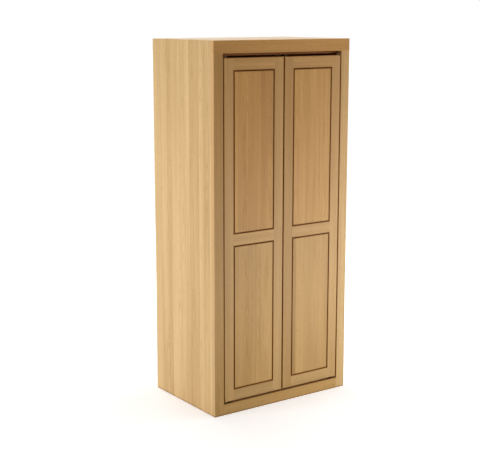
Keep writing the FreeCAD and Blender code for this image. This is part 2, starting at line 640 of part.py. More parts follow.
def save_doors():
    """Write every wooden piece of both doors."""
    reach = DOOR_TENON_REACH - GROOVE_FIT
    pieces = {
        "stile_hinge": hinge_stile(),
        "stile_meeting": meeting_stile(),
        "rail_top": door_rail(UPPER_FIELD_TOP, (UPPER_FIELD_TOP, UPPER_FIELD_TOP + reach),
                              [(UPPER_FIELD_TOP, 1)], [DOOR_TOP]),
        "rail_middle": door_rail(MIDDLE_RAIL_BOTTOM, (MIDDLE_RAIL_BOTTOM, MIDDLE_RAIL_TOP),
                                 [(MIDDLE_RAIL_BOTTOM, 1), (MIDDLE_RAIL_TOP, -1)], []),
        "rail_bottom": door_rail(DOOR_BOTTOM, (LOWER_FIELD_BOTTOM - reach, LOWER_FIELD_BOTTOM),
                                 [(LOWER_FIELD_BOTTOM, -1)], [DOOR_BOTTOM]),
        "panel_upper": door_panel(MIDDLE_RAIL_TOP, UPPER_FIELD_TOP),
        "panel_lower": door_panel(LOWER_FIELD_BOTTOM, MIDDLE_RAIL_BOTTOM),
    }
    for name, piece in pieces.items():
        save("door_left_" + name, [piece])
        save("door_right_" + name, [mirrored(piece)])


# ---------------------------------------------------------------- catches and strike plates
def catch_front():
    """Return the place in Y of a catch's face."""
    return DOOR_BACK + STRIKE_THICKNESS + CATCH_CLEARANCE


def magnet_block(mount_height, way, room=0.0):
    """Return the left magnet of the catch that stands on, or hangs from, a face at mount_height."""
    half = MAGNET_WIDTH / 2 + room
    near = mount_height + way * (MAGNET_EDGE - room)
    far = mount_height + way * (MAGNET_EDGE + MAGNET_HEIGHT + room)
    x_span = (-CATCH_INSET - half, -CATCH_INSET + half)
    return block(x_span, (catch_front(), catch_front() + MAGNET_DEPTH + room), (near, far))


def catch_screw_places(mount_height, way):
    """Return where a left catch is screwed down, on the outer faces of its ears."""
    reach = (CATCH_CORE_WIDTH + CATCH_WIDTH) / 4
    height = mount_height + way * CATCH_EAR_HEIGHT
    middle = catch_front() + CATCH_DEPTH / 2
    return [FreeCAD.Vector(-CATCH_INSET + side * reach, middle, height) for side in (-1, 1)]


def catch_screws(mount_height, way, room=0.0):
    """Return the screws of both catches at a mounting face, or their holes."""
    places = catch_screw_places(mount_height, way)
    return both_sides([small_screw(place, AXIS_Z * -way, room) for place in places])


def catch(mount_height, way):
    """Return a left catch's housing: a core between two ears, with a pocket for the magnet."""
    front = catch_front()
    depth = (front, front + CATCH_DEPTH)
    core = block((-CATCH_INSET - CATCH_CORE_WIDTH / 2, -CATCH_INSET + CATCH_CORE_WIDTH / 2), depth,
                 (mount_height, mount_height + way * CATCH_HEIGHT))
    ears = block((-CATCH_INSET - CATCH_WIDTH / 2, -CATCH_INSET + CATCH_WIDTH / 2), depth,
                 (mount_height, mount_height + way * CATCH_EAR_HEIGHT))
    cuts = [magnet_block(mount_height, way, MAGNET_FIT)] + catch_screws(mount_height, way, SCREW_FIT)
    return carve(join(core, [ears]), cuts)


def strike_height(mount_height, way):
    """Return the height of a strike plate's middle, level with its magnet."""
    return mount_height + way * (MAGNET_EDGE + MAGNET_HEIGHT / 2)


def strike_middles():
    """Return the heights of the lower and the upper strike plate."""
    return [strike_height(FLOOR_TOP, 1), strike_height(HEAD_RAIL_BOTTOM, -1)]


def strike_screws(room=0.0):
    """Return the left door's strike screws, or their holes."""
    return [small_screw(FreeCAD.Vector(-CATCH_INSET + side * STRIKE_SCREW_PITCH / 2,
                                       DOOR_BACK + STRIKE_THICKNESS, height), -AXIS_Y, room)
            for height in strike_middles() for side in (-1, 1)]


def strike_plates():
    """Return the left door's two strike plates."""
    x_span = (-CATCH_INSET - STRIKE_WIDTH / 2, -CATCH_INSET + STRIKE_WIDTH / 2)
    return [carve(block(x_span, (DOOR_BACK, DOOR_BACK + STRIKE_THICKNESS),
                        (height - STRIKE_HEIGHT / 2, height + STRIKE_HEIGHT / 2)), strike_screws(SCREW_FIT))
            for height in strike_middles()]


# ---------------------------------------------------------------- fittings inside
def partition():
    """Return the upright board between the two bays, with pin holes on its right face."""
    board = block(partition_span(), (INNER_FRONT, BACK_PANEL_FRONT),
                  (FLOOR_TOP - HOUSING_DEPTH, SHELF_UNDERSIDE + HOUSING_DEPTH))
    return carve(board, shelf_pin_holes(PARTITION_RIGHT, -AXIS_X))


def loose_shelf(index):
    """Return one loose shelf."""
    low = shelf_underside(index)
    high = low + SHELF_THICKNESS
    board = block((PARTITION_RIGHT + SHELF_END_GAP, INNER_HALF - SHELF_END_GAP),
                  (SHELF_FRONT, BACK_PANEL_FRONT), (low, high))
    return eased(board, [{"Y": SHELF_FRONT, "Z": low}, {"Y": SHELF_FRONT, "Z": high}])


def shelf_pins():
    """Return the four pins under each loose shelf."""
    def pin(place, out_of_wall):
        """Return one pin that enters the wall at place."""
        return Part.makeCylinder(SHELF_PIN_RADIUS, SHELF_PIN_LENGTH, place - out_of_wall * SHELF_PIN_ENTRY,
                                 out_of_wall)
    in_partition = [pin(place, AXIS_X) for place in shelf_pin_places(PARTITION_RIGHT, (0,))]
    in_side = [pin(place, -AXIS_X) for place in shelf_pin_places(INNER_HALF, (0,))]
    return in_partition + in_side


def peg_frame():
    """Return the placement that tips a peg upwards at the rail's face."""
    return FreeCAD.Rotation(AXIS_X, -PEG_RISE_DEGREES)


def peg_places():
    """Return where the pegs meet the peg rail's face."""
    bay = PARTITION_LEFT + INNER_HALF
    pitch = bay / len(PEG_NAMES)
    height = PEG_RAIL_TOP - PEG_RAIL_HEIGHT / 2
    return [FreeCAD.Vector(-INNER_HALF + pitch * (index + 0.5), PEG_RAIL_FRONT, height)
            for index in range(len(PEG_NAMES))]


def peg_mortise(place):
    """Return the slanting hole in the peg rail for a peg's tenon."""
    outward = peg_frame().multVec(-AXIS_Y)
    start = place - outward * (PEG_TENON_LENGTH + PEG_FIT)
    return Part.makeCylinder(PEG_TENON_RADIUS + PEG_FIT, 2 * PEG_TENON_LENGTH, start, outward)


def peg(place):
    """Return a turned peg: tenon, collar, waisted neck and round knob."""
    tenon_end = -PEG_TENON_LENGTH
    seat = PEG_COLLAR_RADIUS * math.sin(math.radians(PEG_RISE_DEGREES))
    collar_end = seat + PEG_COLLAR_LENGTH
    knob_start = PEG_LENGTH - PEG_KNOB_RADIUS
    profile = [(0.0, tenon_end), (PEG_TENON_RADIUS, tenon_end), (PEG_TENON_RADIUS, seat),
               (PEG_COLLAR_RADIUS, seat), (PEG_COLLAR_RADIUS, collar_end)]
    points = [FreeCAD.Vector(radius, 0.0, along) for radius, along in profile]
    neck = Part.BSplineCurve()
    neck.interpolate([points[-1], FreeCAD.Vector(PEG_NECK_RADIUS, 0.0, PEG_NECK_POSITION),
                      FreeCAD.Vector(PEG_KNOB_RADIUS, 0.0, knob_start)])
    crown = FreeCAD.Vector(0.0, 0.0, PEG_LENGTH)
    slope = math.radians(45.0)
    shoulder = FreeCAD.Vector(PEG_KNOB_RADIUS * math.cos(slope), 0.0,
                              knob_start + PEG_KNOB_RADIUS * math.sin(slope))
    knob = Part.Arc(FreeCAD.Vector(PEG_KNOB_RADIUS, 0.0, knob_start), shoulder, crown)
    edges = [Part.LineSegment(start, end).toShape() for start, end in zip(points, points[1:])]
    edges += [neck.toShape(), knob.toShape(), Part.LineSegment(crown, points[0]).toShape()]
    turned = Part.Face(Part.Wire(edges)).revolve(ORIGIN, AXIS_Z, 360)
    facing = FreeCAD.Rotation(AXIS_X, 90.0)
    turned.Placement = FreeCAD.Placement(place, peg_frame().multiply(facing))
    return turned


def peg_rail():
    """Return the peg rail across the back of the tall bay."""
    span = (-INNER_HALF + PEG_RAIL_END_GAP, PARTITION_LEFT - PEG_RAIL_END_GAP)
    board = block(span, (PEG_RAIL_FRONT, BACK_PANEL_FRONT), (PEG_RAIL_TOP - PEG_RAIL_HEIGHT, PEG_RAIL_TOP))
    board = eased(board, [{"Y": PEG_RAIL_FRONT, "Z": PEG_RAIL_TOP},
                          {"Y": PEG_RAIL_FRONT, "Z": PEG_RAIL_TOP - PEG_RAIL_HEIGHT}])
    return carve(board, [peg_mortise(place) for place in peg_places()])


# ---------------------------------------------------------------- writing every node
def save_case():
    """Write the case, the face frame and the hidden joints between them."""
    save_pair("side_panel", side_panel(), right_side_panel())
    save("top_panel", [top_panel()])
    save("bottom_panel", [bottom_panel()])
    save("back_panel", [back_panel()])
    upper_rail = back_rail(TOP_UNDERSIDE - BACK_RAIL_HEIGHT, TOP_UNDERSIDE)
    save("back_rail_top", [carve(upper_rail, wall_holes())])
    save("back_rail_bottom", [back_rail(0.0, FLOOR_UNDERSIDE)])
    save("head_rail", [head_rail()])
    save_pair("frame_stile", frame_stile())
    save("frame_top_rail", [frame_top_rail()])
    save("frame_bottom_rail", [frame_bottom_rail()])
    side_dowels = both_sides([dowel(place) for place in side_dowel_places()])
    save("frame_dowels", side_dowels + [dowel(place) for place in TOP_DOWELS + BOTTOM_DOWELS])
    save("back_screws", [large_screw(place, -AXIS_Y) for place in back_screw_places()])


def save_pivots():
    """Write the plates, pins, bushes and washers that the doors turn on."""
    save_pair("pivot_plate_top", top_plate())
    save_pair("pivot_plate_bottom", bottom_plate())
    save("pivot_pins_top", both_sides([top_pin()]))
    save("pivot_pins_bottom", both_sides([bottom_pin()]))
    save("pivot_plate_screws", plate_screws_top() + plate_screws_bottom())
    save("thrust_washers", both_sides([thrust_washer()]))
    bushes = [bush(DOOR_BOTTOM, AXIS_Z), bush(DOOR_TOP, -AXIS_Z)]
    save("door_left_bushes", bushes)
    save("door_right_bushes", [mirrored(each) for each in bushes])


def save_catches():
    """Write the magnetic catches on the case and the strike plates on the doors."""
    mounts = {"top": (HEAD_RAIL_BOTTOM, -1), "bottom": (FLOOR_TOP, 1)}
    for name, (mount_height, way) in mounts.items():
        save_pair("catch_" + name, catch(mount_height, way))
    magnets = [magnet_block(mount_height, way) for mount_height, way in mounts.values()]
    save("catch_magnets", both_sides(magnets))
    screws = [each for mount_height, way in mounts.values() for each in catch_screws(mount_height, way)]
    save("catch_screws", screws)
    save("door_left_strikes", strike_plates())
    save("door_right_strikes", [mirrored(each) for each in strike_plates()])
    save("door_left_strike_screws", strike_screws())
    save("door_right_strike_screws", [mirrored(each) for each in strike_screws()])


def save_fittings():
    """Write the partition, the shelves and the peg rail."""
    save("partition", [partition()])
    save("top_shelf", [top_shelf()])
    for index, name in enumerate(SHELF_NAMES):
        save(name, [loose_shelf(index)])
    save("shelf_pins", shelf_pins())
    save("peg_rail", [peg_rail()])
    for name, place in zip(PEG_NAMES, peg_places()):
        save(name, [peg(place)])


save_case()
save_doors()
save_pivots()
save_catches()
save_fittings()
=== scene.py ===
"""Looks of a two-door oak broom cupboard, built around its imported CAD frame.

Every board keeps its CAD solid and gets an oak that is cut from a log of its own. Small metal and
plastic fittings are rebuilt with softened edges, and the screws with cross recesses and threads.
"""

import json
import logging
import math
from dataclasses import KW_ONLY, dataclass, field, replace
from enum import Enum
from functools import reduce
from itertools import pairwise

import bmesh
import bpy
from mathutils import Matrix, Vector

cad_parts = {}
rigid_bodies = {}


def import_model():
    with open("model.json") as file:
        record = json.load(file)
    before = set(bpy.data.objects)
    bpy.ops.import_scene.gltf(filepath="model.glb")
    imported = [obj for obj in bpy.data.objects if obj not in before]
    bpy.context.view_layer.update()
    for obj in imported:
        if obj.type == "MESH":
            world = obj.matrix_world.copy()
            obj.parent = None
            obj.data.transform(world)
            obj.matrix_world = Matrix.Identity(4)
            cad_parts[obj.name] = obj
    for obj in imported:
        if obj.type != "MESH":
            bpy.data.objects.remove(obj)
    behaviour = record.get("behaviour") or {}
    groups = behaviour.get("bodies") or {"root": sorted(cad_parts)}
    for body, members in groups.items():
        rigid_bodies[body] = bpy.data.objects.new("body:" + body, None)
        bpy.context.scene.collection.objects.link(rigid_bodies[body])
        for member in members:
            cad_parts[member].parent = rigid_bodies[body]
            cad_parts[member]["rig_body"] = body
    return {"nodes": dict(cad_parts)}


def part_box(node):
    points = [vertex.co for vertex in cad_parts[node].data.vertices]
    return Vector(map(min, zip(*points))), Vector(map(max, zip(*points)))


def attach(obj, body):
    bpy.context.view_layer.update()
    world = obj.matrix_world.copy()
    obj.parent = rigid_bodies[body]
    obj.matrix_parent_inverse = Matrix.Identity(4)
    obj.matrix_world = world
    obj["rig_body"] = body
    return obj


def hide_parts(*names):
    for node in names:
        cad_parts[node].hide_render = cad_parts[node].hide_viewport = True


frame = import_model()

LOG = logging.getLogger("broom_cupboard")
MM = 0.001
WELD = 0.001 * MM
FLAT_BELOW, SMOOTH_BELOW, SHARP_ABOVE = (math.radians(angle) for angle in (0.5, 35.0, 40.0))
FACING = (0.55, 0.85)
WHITE = (1.0, 1.0, 1.0, 1.0)
HALF = (0.5, 0.5, 0.5)

Colour = tuple[float, float, float, float]
Display = tuple[int, int, int]
Triple = tuple[float, float, float]
Points = list[tuple[float, float]]
Ring = list[bmesh.types.BMVert]
BMesh = bmesh.types.BMesh
Material = bpy.types.Material
Socket = bpy.types.NodeSocket
Feed = Socket | float | tuple


def linear(display: Display, lightness: float = 1.0) -> Colour:
    """Find the colour that shaders take.

    Args:
        display: The colour as a screen shows it, from 0 to 255.
        lightness: What its light is multiplied by.

    Returns:
        The linear colour.
    """
    shares = (value / 255 for value in display)
    return (*(lightness * (s / 12.92 if s <= 0.04045 else ((s + 0.055) / 1.055) ** 2.4)
              for s in shares), 1.0)


# --- node building
class Graph:
    """Makes and links the nodes of one node tree."""

    MIX_INPUTS = (0, 6, 7)
    MIX_OUTPUT = 2

    def __init__(self, tree: bpy.types.NodeTree) -> None:
        """Start on a tree, which may already hold nodes."""
        self.tree = tree

    def add(self, kind: str, *values: Feed, **settings: object) -> bpy.types.Node:
        """Add a node.

        Args:
            kind: The node's type name.
            *values: What its first inputs take.
            **settings: Properties of the node.

        Returns:
            The node.
        """
        node = self.tree.nodes.new(kind)
        for name, setting in settings.items():
            setattr(node, name, setting)
        for socket, value in zip(node.inputs, values):
            self.feed(socket, value)
        return node

    def feed(self, socket: Socket, value: Feed) -> None:
        """Link a socket to another one, or set its value.

        Args:
            socket: The input socket.
            value: An output socket, or a plain value.
        """
        if isinstance(value, Socket):
            self.tree.links.new(value, socket)
        else:
            socket.default_value = value

    def plug(self, node: bpy.types.Node, **values: Feed) -> bpy.types.NodeOutputs:
        """Feed a node's inputs by their names.

        Args:
            node: The node.
            **values: What the inputs take, with _ for a space in a name.

        Returns:
            The node's outputs.
        """
        for name, value in values.items():
            self.feed(node.inputs[name.replace("_", " ")], value)
        return node.outputs

    def math(self, operation: str, *values: Feed) -> Socket:
        """Return the value of a Math node."""
        return self.add("ShaderNodeMath", *values, operation=operation).outputs[0]

    def vector(self, operation: str, *values: Feed) -> Socket:
        """Return the vector of a Vector Math node."""
        return self.add("ShaderNodeVectorMath", *values, operation=operation).outputs["Vector"]

    def times(self, first: Feed, *factors: Feed) -> Feed:
        """Return the product of all the values."""
        return reduce(lambda result, factor: self.math("MULTIPLY", result, factor), factors, first)

    def parts(self, vector: Feed) -> list[Socket]:
        """Return a vector's X, Y and Z."""
        return list(self.add("ShaderNodeSeparateXYZ", vector).outputs)

    def joined(self, *values: Feed) -> Socket:
        """Return a vector made of its X, Y and Z."""
        return self.add("ShaderNodeCombineXYZ", *values).outputs[0]

    def noise(self, place: Feed, cells: Triple, detail: float, output: str = "Fac") -> Socket:
        """Return noise whose cells have a size of their own along each axis.

        Args:
            place: The coordinates in metres.
            cells: Cells per metre along X, Y and Z.
            detail: Octaves.
            output: The noise node's output.

        Returns:
            The noise, from 0 to 1 about a middle of 0.5.
        """
        scaled = self.vector("MULTIPLY", place, cells)
        return self.plug(self.add("ShaderNodeTexNoise"), Vector=scaled, Scale=1.0,
                         Detail=detail)[output]

    def ramp(self, value: Feed, low: float, high: float, first: float = 0.0,
             last: float = 1.0) -> Socket:
        """Go smoothly from one value to another.

        Args:
            value: What drives the change.
            low: Where it starts.
            high: Where it ends.
            first: The value up to low.
            last: The value from high on.

        Returns:
            The value.
        """
        return self.plug(self.add("ShaderNodeMapRange", interpolation_type="SMOOTHSTEP"),
                         Value=value, From_Min=low, From_Max=high, To_Min=first, To_Max=last)[0]

    def mix(self, share: Feed, first: Feed, second: Feed, blend: str = "MIX") -> Socket:
        """Mix two colours.

        Args:
            share: How much of the second shows.
            first: The colour underneath.
            second: The colour on top.
            blend: The blend's name.

        Returns:
            The mixed colour.
        """
        node = self.add("ShaderNodeMix", data_type="RGBA", blend_type=blend)
        for index, value in zip(self.MIX_INPUTS, (share, first, second)):
            self.feed(node.inputs[index], value)
        return node.outputs[self.MIX_OUTPUT]

    def total(self, start: Feed, *terms: tuple[Feed, Feed]) -> Feed:
        """Add up weighted values.

        Args:
            start: The first value, with a weight of 1.
            *terms: Pairs of a weight and a value.

        Returns:
            The sum.
        """
        result = start
        for weight, value in terms:
            result = self.math("MULTIPLY_ADD", value, weight, result)
        return result


VALUE, TINT, PLACE = "NodeSocketFloat", "NodeSocketColor", "NodeSocketVector"
SURFACE = {"Color": TINT, "Roughness": VALUE, "Height": VALUE}
SKIN = {"Place": PLACE, "Base Roughness": VALUE, "Bright": TINT, "Dull": TINT}


class Effect:
    """A shader node group that several materials share, with named inputs and outputs.

    Its noises are each given by their cells per metre along X, Y and Z, and their octaves.
    """

    def __init__(self, name: str, inputs: dict[str, str], outputs: dict[str, str]) -> None:
        """Make the group's sockets and an empty inside.

        Args:
            name: The group's name.
            inputs: Socket type of each input by its name.
            outputs: Socket type of each output by its name.
        """
        self.tree = bpy.data.node_groups.new(name, "ShaderNodeTree")
        for in_out, sockets in (("INPUT", inputs), ("OUTPUT", outputs)):
            for socket, kind in sockets.items():
                self.tree.interface.new_socket(name=socket, in_out=in_out, socket_type=kind)
        self.graph = Graph(self.tree)
        self.inputs = self.graph.add("NodeGroupInput").outputs
        self.ending = self.graph.add("NodeGroupOutput")

    def give(self, **values: Feed) -> None:
        """Feed the group's outputs by their names."""
        self.graph.plug(self.ending, **values)

    def use(self, graph: Graph, **values: Feed) -> bpy.types.NodeOutputs:
        """Place the group in a material, feed its inputs by name and return its outputs."""
        return graph.plug(graph.add("ShaderNodeGroup", node_tree=self.tree), **values)


class OakFigure(Effect):
    """Solid oak: staves, growth rings about a heart, streaks, pores and end grain.

    Its place runs across the face in X, through the board in Y and along the grain in Z, in metres.
    """

    STAVE_SWING, STAVE_RHYTHM = 0.24, 2.3
    SEAM = (0.12 * MM, 0.5 * MM)
    SEED_STEP = 0.31
    HEART_STRAY = 0.09
    HEART_DEPTHS = (0.55, 0.9)
    LOG_STEPS = (23.0, 11.0)
    WANDERS = ((((2.4, 2.4, 0.9), 1.0), 0.05), (((34.0, 34.0, 3.2), 1.0), 0.003))
    TAPER = 0.007
    GOOD_YEAR_CELLS, GOOD_YEAR_SHARE = 42.0, 1.6
    EARLY_WOOD_ENDS, EARLY_WOOD_STARTS = (0.06, 0.46), (0.88, 1.0)
    STREAKS = {"wide": ((13.0, 13.0, 0.75), 2.0), "middle": ((70.0, 70.0, 1.5), 3.0),
               "fine": ((330.0, 330.0, 7.0), 2.0), "fleck": ((210.0, 210.0, 10.0), 1.0),
               "pore": ((1500.0, 1500.0, 46.0), 0.0)}
    FLECK, PORE = (0.66, 0.76), (0.6, 0.74)
    PORE_LATE, PORE_EARLY = 0.25, 0.75
    END_GRAIN = (0.6, 0.9)
    PALENESS_START = -0.83
    PALENESS = {"tone": 0.62, "wide": 1.4, "middle": 0.8, "fine": 0.46}
    TINTS = {"early": (0.2, (0.74, 0.66, 0.56, 1.0)), "pore": (0.55, (0.5, 0.4, 0.3, 1.0)),
             "fleck": (0.35, (0.66, 0.56, 0.44, 1.0)), "seam": (0.6, (0.4, 0.3, 0.2, 1.0)),
             "end": (0.8, (0.8, 0.72, 0.62, 1.0))}
    ROUGHNESS = {"early": 0.08, "pore": 0.2, "end": 0.12, "uneven": 0.1}
    HEIGHT_START = 0.5
    HEIGHT = {"pore": -0.45, "early": -0.14, "fine": 0.22, "seam": -0.6}

    def __init__(self) -> None:
        """Build the group."""
        values = ("Facing", "Seed", "Stave Width", "Stave Contrast", "Ring Width", "Heart Depth",
                  "Heart Across", "Base Roughness")
        super().__init__("oak_figure", {"Place": PLACE, "Pale": TINT, "Deep": TINT,
                                        **dict.fromkeys(values, VALUE)}, SURFACE)
        self.layers: dict[str, Socket] = {}
        self._cut_staves()
        self._grow_rings()
        self._draw_streaks()
        self._finish()

    def _weighed(self, weights: dict[str, float]) -> list[tuple[float, Socket]]:
        """Return pairs of a weight and the layer of that name."""
        return [(weight, self.layers[name]) for name, weight in weights.items()]

    def _cut_staves(self) -> None:
        """Divide the width into staves, each moved to a place of its own in the log."""
        g, inputs = self.graph, self.inputs
        seed, width, depth = (inputs[name] for name in ("Seed", "Stave Width", "Heart Depth"))
        x, y, z = g.parts(inputs["Place"])
        run = g.math("ADD", g.math("DIVIDE", x, width), g.math("ADD", seed, 0.5))
        swing = g.math("SINE", g.times(run, self.STAVE_RHYTHM))
        uneven = g.total(run, (self.STAVE_SWING, swing))
        index = g.math("FLOOR", uneven)
        part = g.math("SUBTRACT", uneven, index)
        nearest = g.math("MINIMUM", part, g.math("SUBTRACT", 1.0, part))
        self.layers["seam"] = g.ramp(g.times(nearest, width), *self.SEAM, 1.0, 0.0)
        chance = g.plug(g.add("ShaderNodeTexWhiteNoise", noise_dimensions="1D"),
                        W=g.total(index, (self.SEED_STEP, seed)))
        red, green, blue = g.parts(chance["Color"])
        self.layers["tone"] = g.times(g.total(-1.0, (2.0, red)), inputs["Stave Contrast"])
        middle = g.times(g.math("SUBTRACT", index, seed), width)
        across = g.total(g.math("SUBTRACT", x, middle),
                         (self.HEART_STRAY, g.math("SUBTRACT", green, 0.5)),
                         (1.0, inputs["Heart Across"]))
        least, spread = self.HEART_DEPTHS
        through = g.total(y, (least, depth), (spread, g.times(blue, depth)))
        along = g.total(z, *zip(self.LOG_STEPS, (red, green)))
        self.place = g.joined(across, through, along)

    def _grow_rings(self) -> None:
        """Lay growth rings about a heart that wanders along the board."""
        g, bent = self.graph, self.place
        for noise, reach in self.WANDERS:
            way = g.vector("SUBTRACT", g.noise(self.place, *noise, "Color"), HALF)
            bent = g.vector("ADD", bent, g.vector("MULTIPLY", way, (reach, reach, 0.0)))
        x, y, z = g.parts(bent)
        squares = g.total(g.times(y, y), (x, x))
        radius = g.total(g.math("SQRT", squares), (self.TAPER, z))
        good_years = g.plug(g.add("ShaderNodeTexNoise", noise_dimensions="1D"),
                            W=g.times(radius, self.GOOD_YEAR_CELLS))
        years = g.total(g.math("DIVIDE", radius, self.inputs["Ring Width"]),
                        (self.GOOD_YEAR_SHARE, good_years["Fac"]))
        phase = g.math("FRACT", years)
        self.layers["early"] = g.math("MAXIMUM", g.ramp(phase, *self.EARLY_WOOD_ENDS, 1.0, 0.0),
                                      g.ramp(phase, *self.EARLY_WOOD_STARTS))

    def _draw_streaks(self) -> None:
        """Add streaks, mineral flecks and pores, all drawn out along the grain."""
        g, layers = self.graph, self.layers
        for name, noise in self.STREAKS.items():
            layers[name] = g.noise(self.place, *noise)
        layers["fleck"] = g.ramp(layers["fleck"], *self.FLECK)
        crowd = g.total(self.PORE_LATE, (self.PORE_EARLY, layers["early"]))
        layers["pore"] = g.times(g.ramp(layers["pore"], *self.PORE), crowd)

    def _finish(self) -> None:
        """Turn the layers into colour, roughness and height."""
        g, inputs, layers = self.graph, self.inputs, self.layers
        layers["end"] = g.ramp(g.math("ABSOLUTE", inputs["Facing"]), *self.END_GRAIN)
        paleness = g.total(self.PALENESS_START, *self._weighed(self.PALENESS))
        limited = g.math("MINIMUM", g.math("MAXIMUM", paleness, 0.0), 1.0)
        lit = g.mix(limited, inputs["Deep"], inputs["Pale"])
        for name, (share, tint) in self.TINTS.items():
            lit = g.mix(g.times(layers[name], share), lit, tint, "MULTIPLY")
        layers["uneven"] = g.math("SUBTRACT", layers["middle"], 0.5)
        self.give(Color=lit,
                  Roughness=g.total(inputs["Base Roughness"], *self._weighed(self.ROUGHNESS)),
                  Height=g.total(self.HEIGHT_START, *self._weighed(self.HEIGHT)))


class EdgeWearAndHighlight(Effect):
    """Edges that hands and cleaning cloths have worn, broken up by patches; on the oak their paler
    colour is also a painted highlight along the arrises.
    """

    SAMPLES = 4
    BEND = (0.015, 0.16)
    PATCHES, PATCH = ((24.0,) * 3, 3.0), (0.36, 0.62, 0.35, 1.0)

    def __init__(self) -> None:
        """Build the group."""
        super().__init__("edge_wear_and_highlight", {"Place": PLACE, "Reach": VALUE, "Strength": VALUE},
                         {"Wear": VALUE})
        g = self.graph
        bevel = g.add("ShaderNodeBevel", samples=self.SAMPLES)
        normals = (g.plug(bevel, Radius=self.inputs["Reach"])["Normal"],
                   g.add("ShaderNodeNewGeometry").outputs["Normal"])
        turn = g.add("ShaderNodeVectorMath", *normals, operation="DOT_PRODUCT").outputs["Value"]
        bend = g.ramp(g.math("SUBTRACT", 1.0, turn), *self.BEND)
        patches = g.ramp(g.noise(self.inputs["Place"], *self.PATCHES), *self.PATCH)
        self.give(Wear=g.times(bend, patches, self.inputs["Strength"]))


class CreviceShade(Effect):
    """Grooves, gaps and inner corners, found by ambient occlusion, where shade is painted into the
    colour.
    """

    SAMPLES = 6
    OPENNESS = (0.35, 0.97)

    def __init__(self) -> None:
        """Build the group."""
        super().__init__("crevice_shade", {"Reach": VALUE, "Strength": VALUE}, {"Shade": VALUE})
        g = self.graph
        open_sky = g.plug(g.add("ShaderNodeAmbientOcclusion", samples=self.SAMPLES),
                          Distance=self.inputs["Reach"])
        hidden = g.ramp(open_sky["AO"], *self.OPENNESS, 1.0, 0.0)
        self.give(Shade=g.times(hidden, self.inputs["Strength"]))


class SettledDust(Effect):
    """Fine dust on what faces up."""

    CLOUDS, CLOUD = ((7.0,) * 3, 4.0), (0.34, 0.68, 0.25, 1.0)
    SPECKS, LEAST, SPECKLED = ((900.0,) * 3, 1.0), 0.4, 1.1
    UPWARD = (0.75, 0.98)

    def __init__(self) -> None:
        """Build the group."""
        super().__init__("settled_dust", {"Place": PLACE, "Upward": VALUE, "Strength": VALUE},
                         {"Dust": VALUE})
        g, place = self.graph, self.inputs["Place"]
        clouds = g.ramp(g.noise(place, *self.CLOUDS), *self.CLOUD)
        speckled = g.total(self.LEAST, (self.SPECKLED, g.noise(place, *self.SPECKS)))
        up = g.ramp(self.inputs["Upward"], *self.UPWARD)
        self.give(Dust=g.times(clouds, speckled, up, self.inputs["Strength"]))


class MetalSkin(Effect):
    """Drawn or tumbled metal: fine lines, blotches and small pits."""

    LINES, LINE_SHARE, LINE_HEIGHT = ((160.0, 5200.0, 5200.0), 2.0), 0.35, 0.4
    BLOTCHES, BLOTCH_SHARE = ((260.0,) * 3, 4.0), 0.65
    PITS, PIT, PIT_ROUGHNESS, PIT_HEIGHT = ((1900.0,) * 3, 1.0), (0.64, 0.78), 0.18, -0.8
    BRIGHTNESS, SMOOTHER = (0.36, 0.62), -0.12

    def __init__(self) -> None:
        """Build the group."""
        super().__init__("metal_skin", SKIN, SURFACE)
        g, inputs = self.graph, self.inputs
        lines, blotches, pits = (g.noise(inputs["Place"], *noise)
                                 for noise in (self.LINES, self.BLOTCHES, self.PITS))
        pits = g.ramp(pits, *self.PIT)
        share = g.ramp(g.total(0.0, (self.LINE_SHARE, lines), (self.BLOTCH_SHARE, blotches)),
                       *self.BRIGHTNESS)
        self.give(Color=g.mix(share, inputs["Dull"], inputs["Bright"]),
                  Roughness=g.total(inputs["Base Roughness"], (self.SMOOTHER, share),
                                    (self.PIT_ROUGHNESS, pits)),
                  Height=g.total(0.0, (self.LINE_HEIGHT, lines), (self.PIT_HEIGHT, pits)))


class MouldedSkin(Effect):
    """Moulded plastic: a fine spark-eroded grain with faint flow marks."""

    GRAIN, GRAIN_ROUGHNESS = ((2600.0,) * 3, 2.0), 0.12
    FLOWS, FLOW, FLOW_ROUGHNESS = ((90.0, 90.0, 260.0), 3.0), (0.4, 0.7), -0.1

    def __init__(self) -> None:
        """Build the group."""
        super().__init__("moulded_skin", SKIN, SURFACE)
        g, inputs = self.graph, self.inputs
        grain = g.noise(inputs["Place"], *self.GRAIN)
        flow = g.noise(inputs["Place"], *self.FLOWS)
        self.give(Color=g.mix(g.ramp(flow, *self.FLOW), inputs["Dull"], inputs["Bright"]),
                  Roughness=g.total(inputs["Base Roughness"], (self.GRAIN_ROUGHNESS, grain),
                                    (self.FLOW_ROUGHNESS, flow)),
                  Height=grain)


class Effects:
    """The shared node groups, each built once."""

    def __init__(self) -> None:
        """Build all the groups."""
        self.oak = OakFigure()
        self.wear = EdgeWearAndHighlight()
        self.crevice_shade = CreviceShade()
        self.dust = SettledDust()
        self.metal = MetalSkin()
        self.moulded = MouldedSkin()


# --- finishes
class Lay(Enum):
    """How a board lies: the axes that run across its face, through it and along its grain."""

    FRONT_UPRIGHT = (0, 1, 2)
    SIDE_UPRIGHT = (1, 0, 2)
    FRONT_LEVEL = (2, 1, 0)
    FLAT_LEVEL = (1, 2, 0)
    TURNED_DEEP = (0, 2, 1)


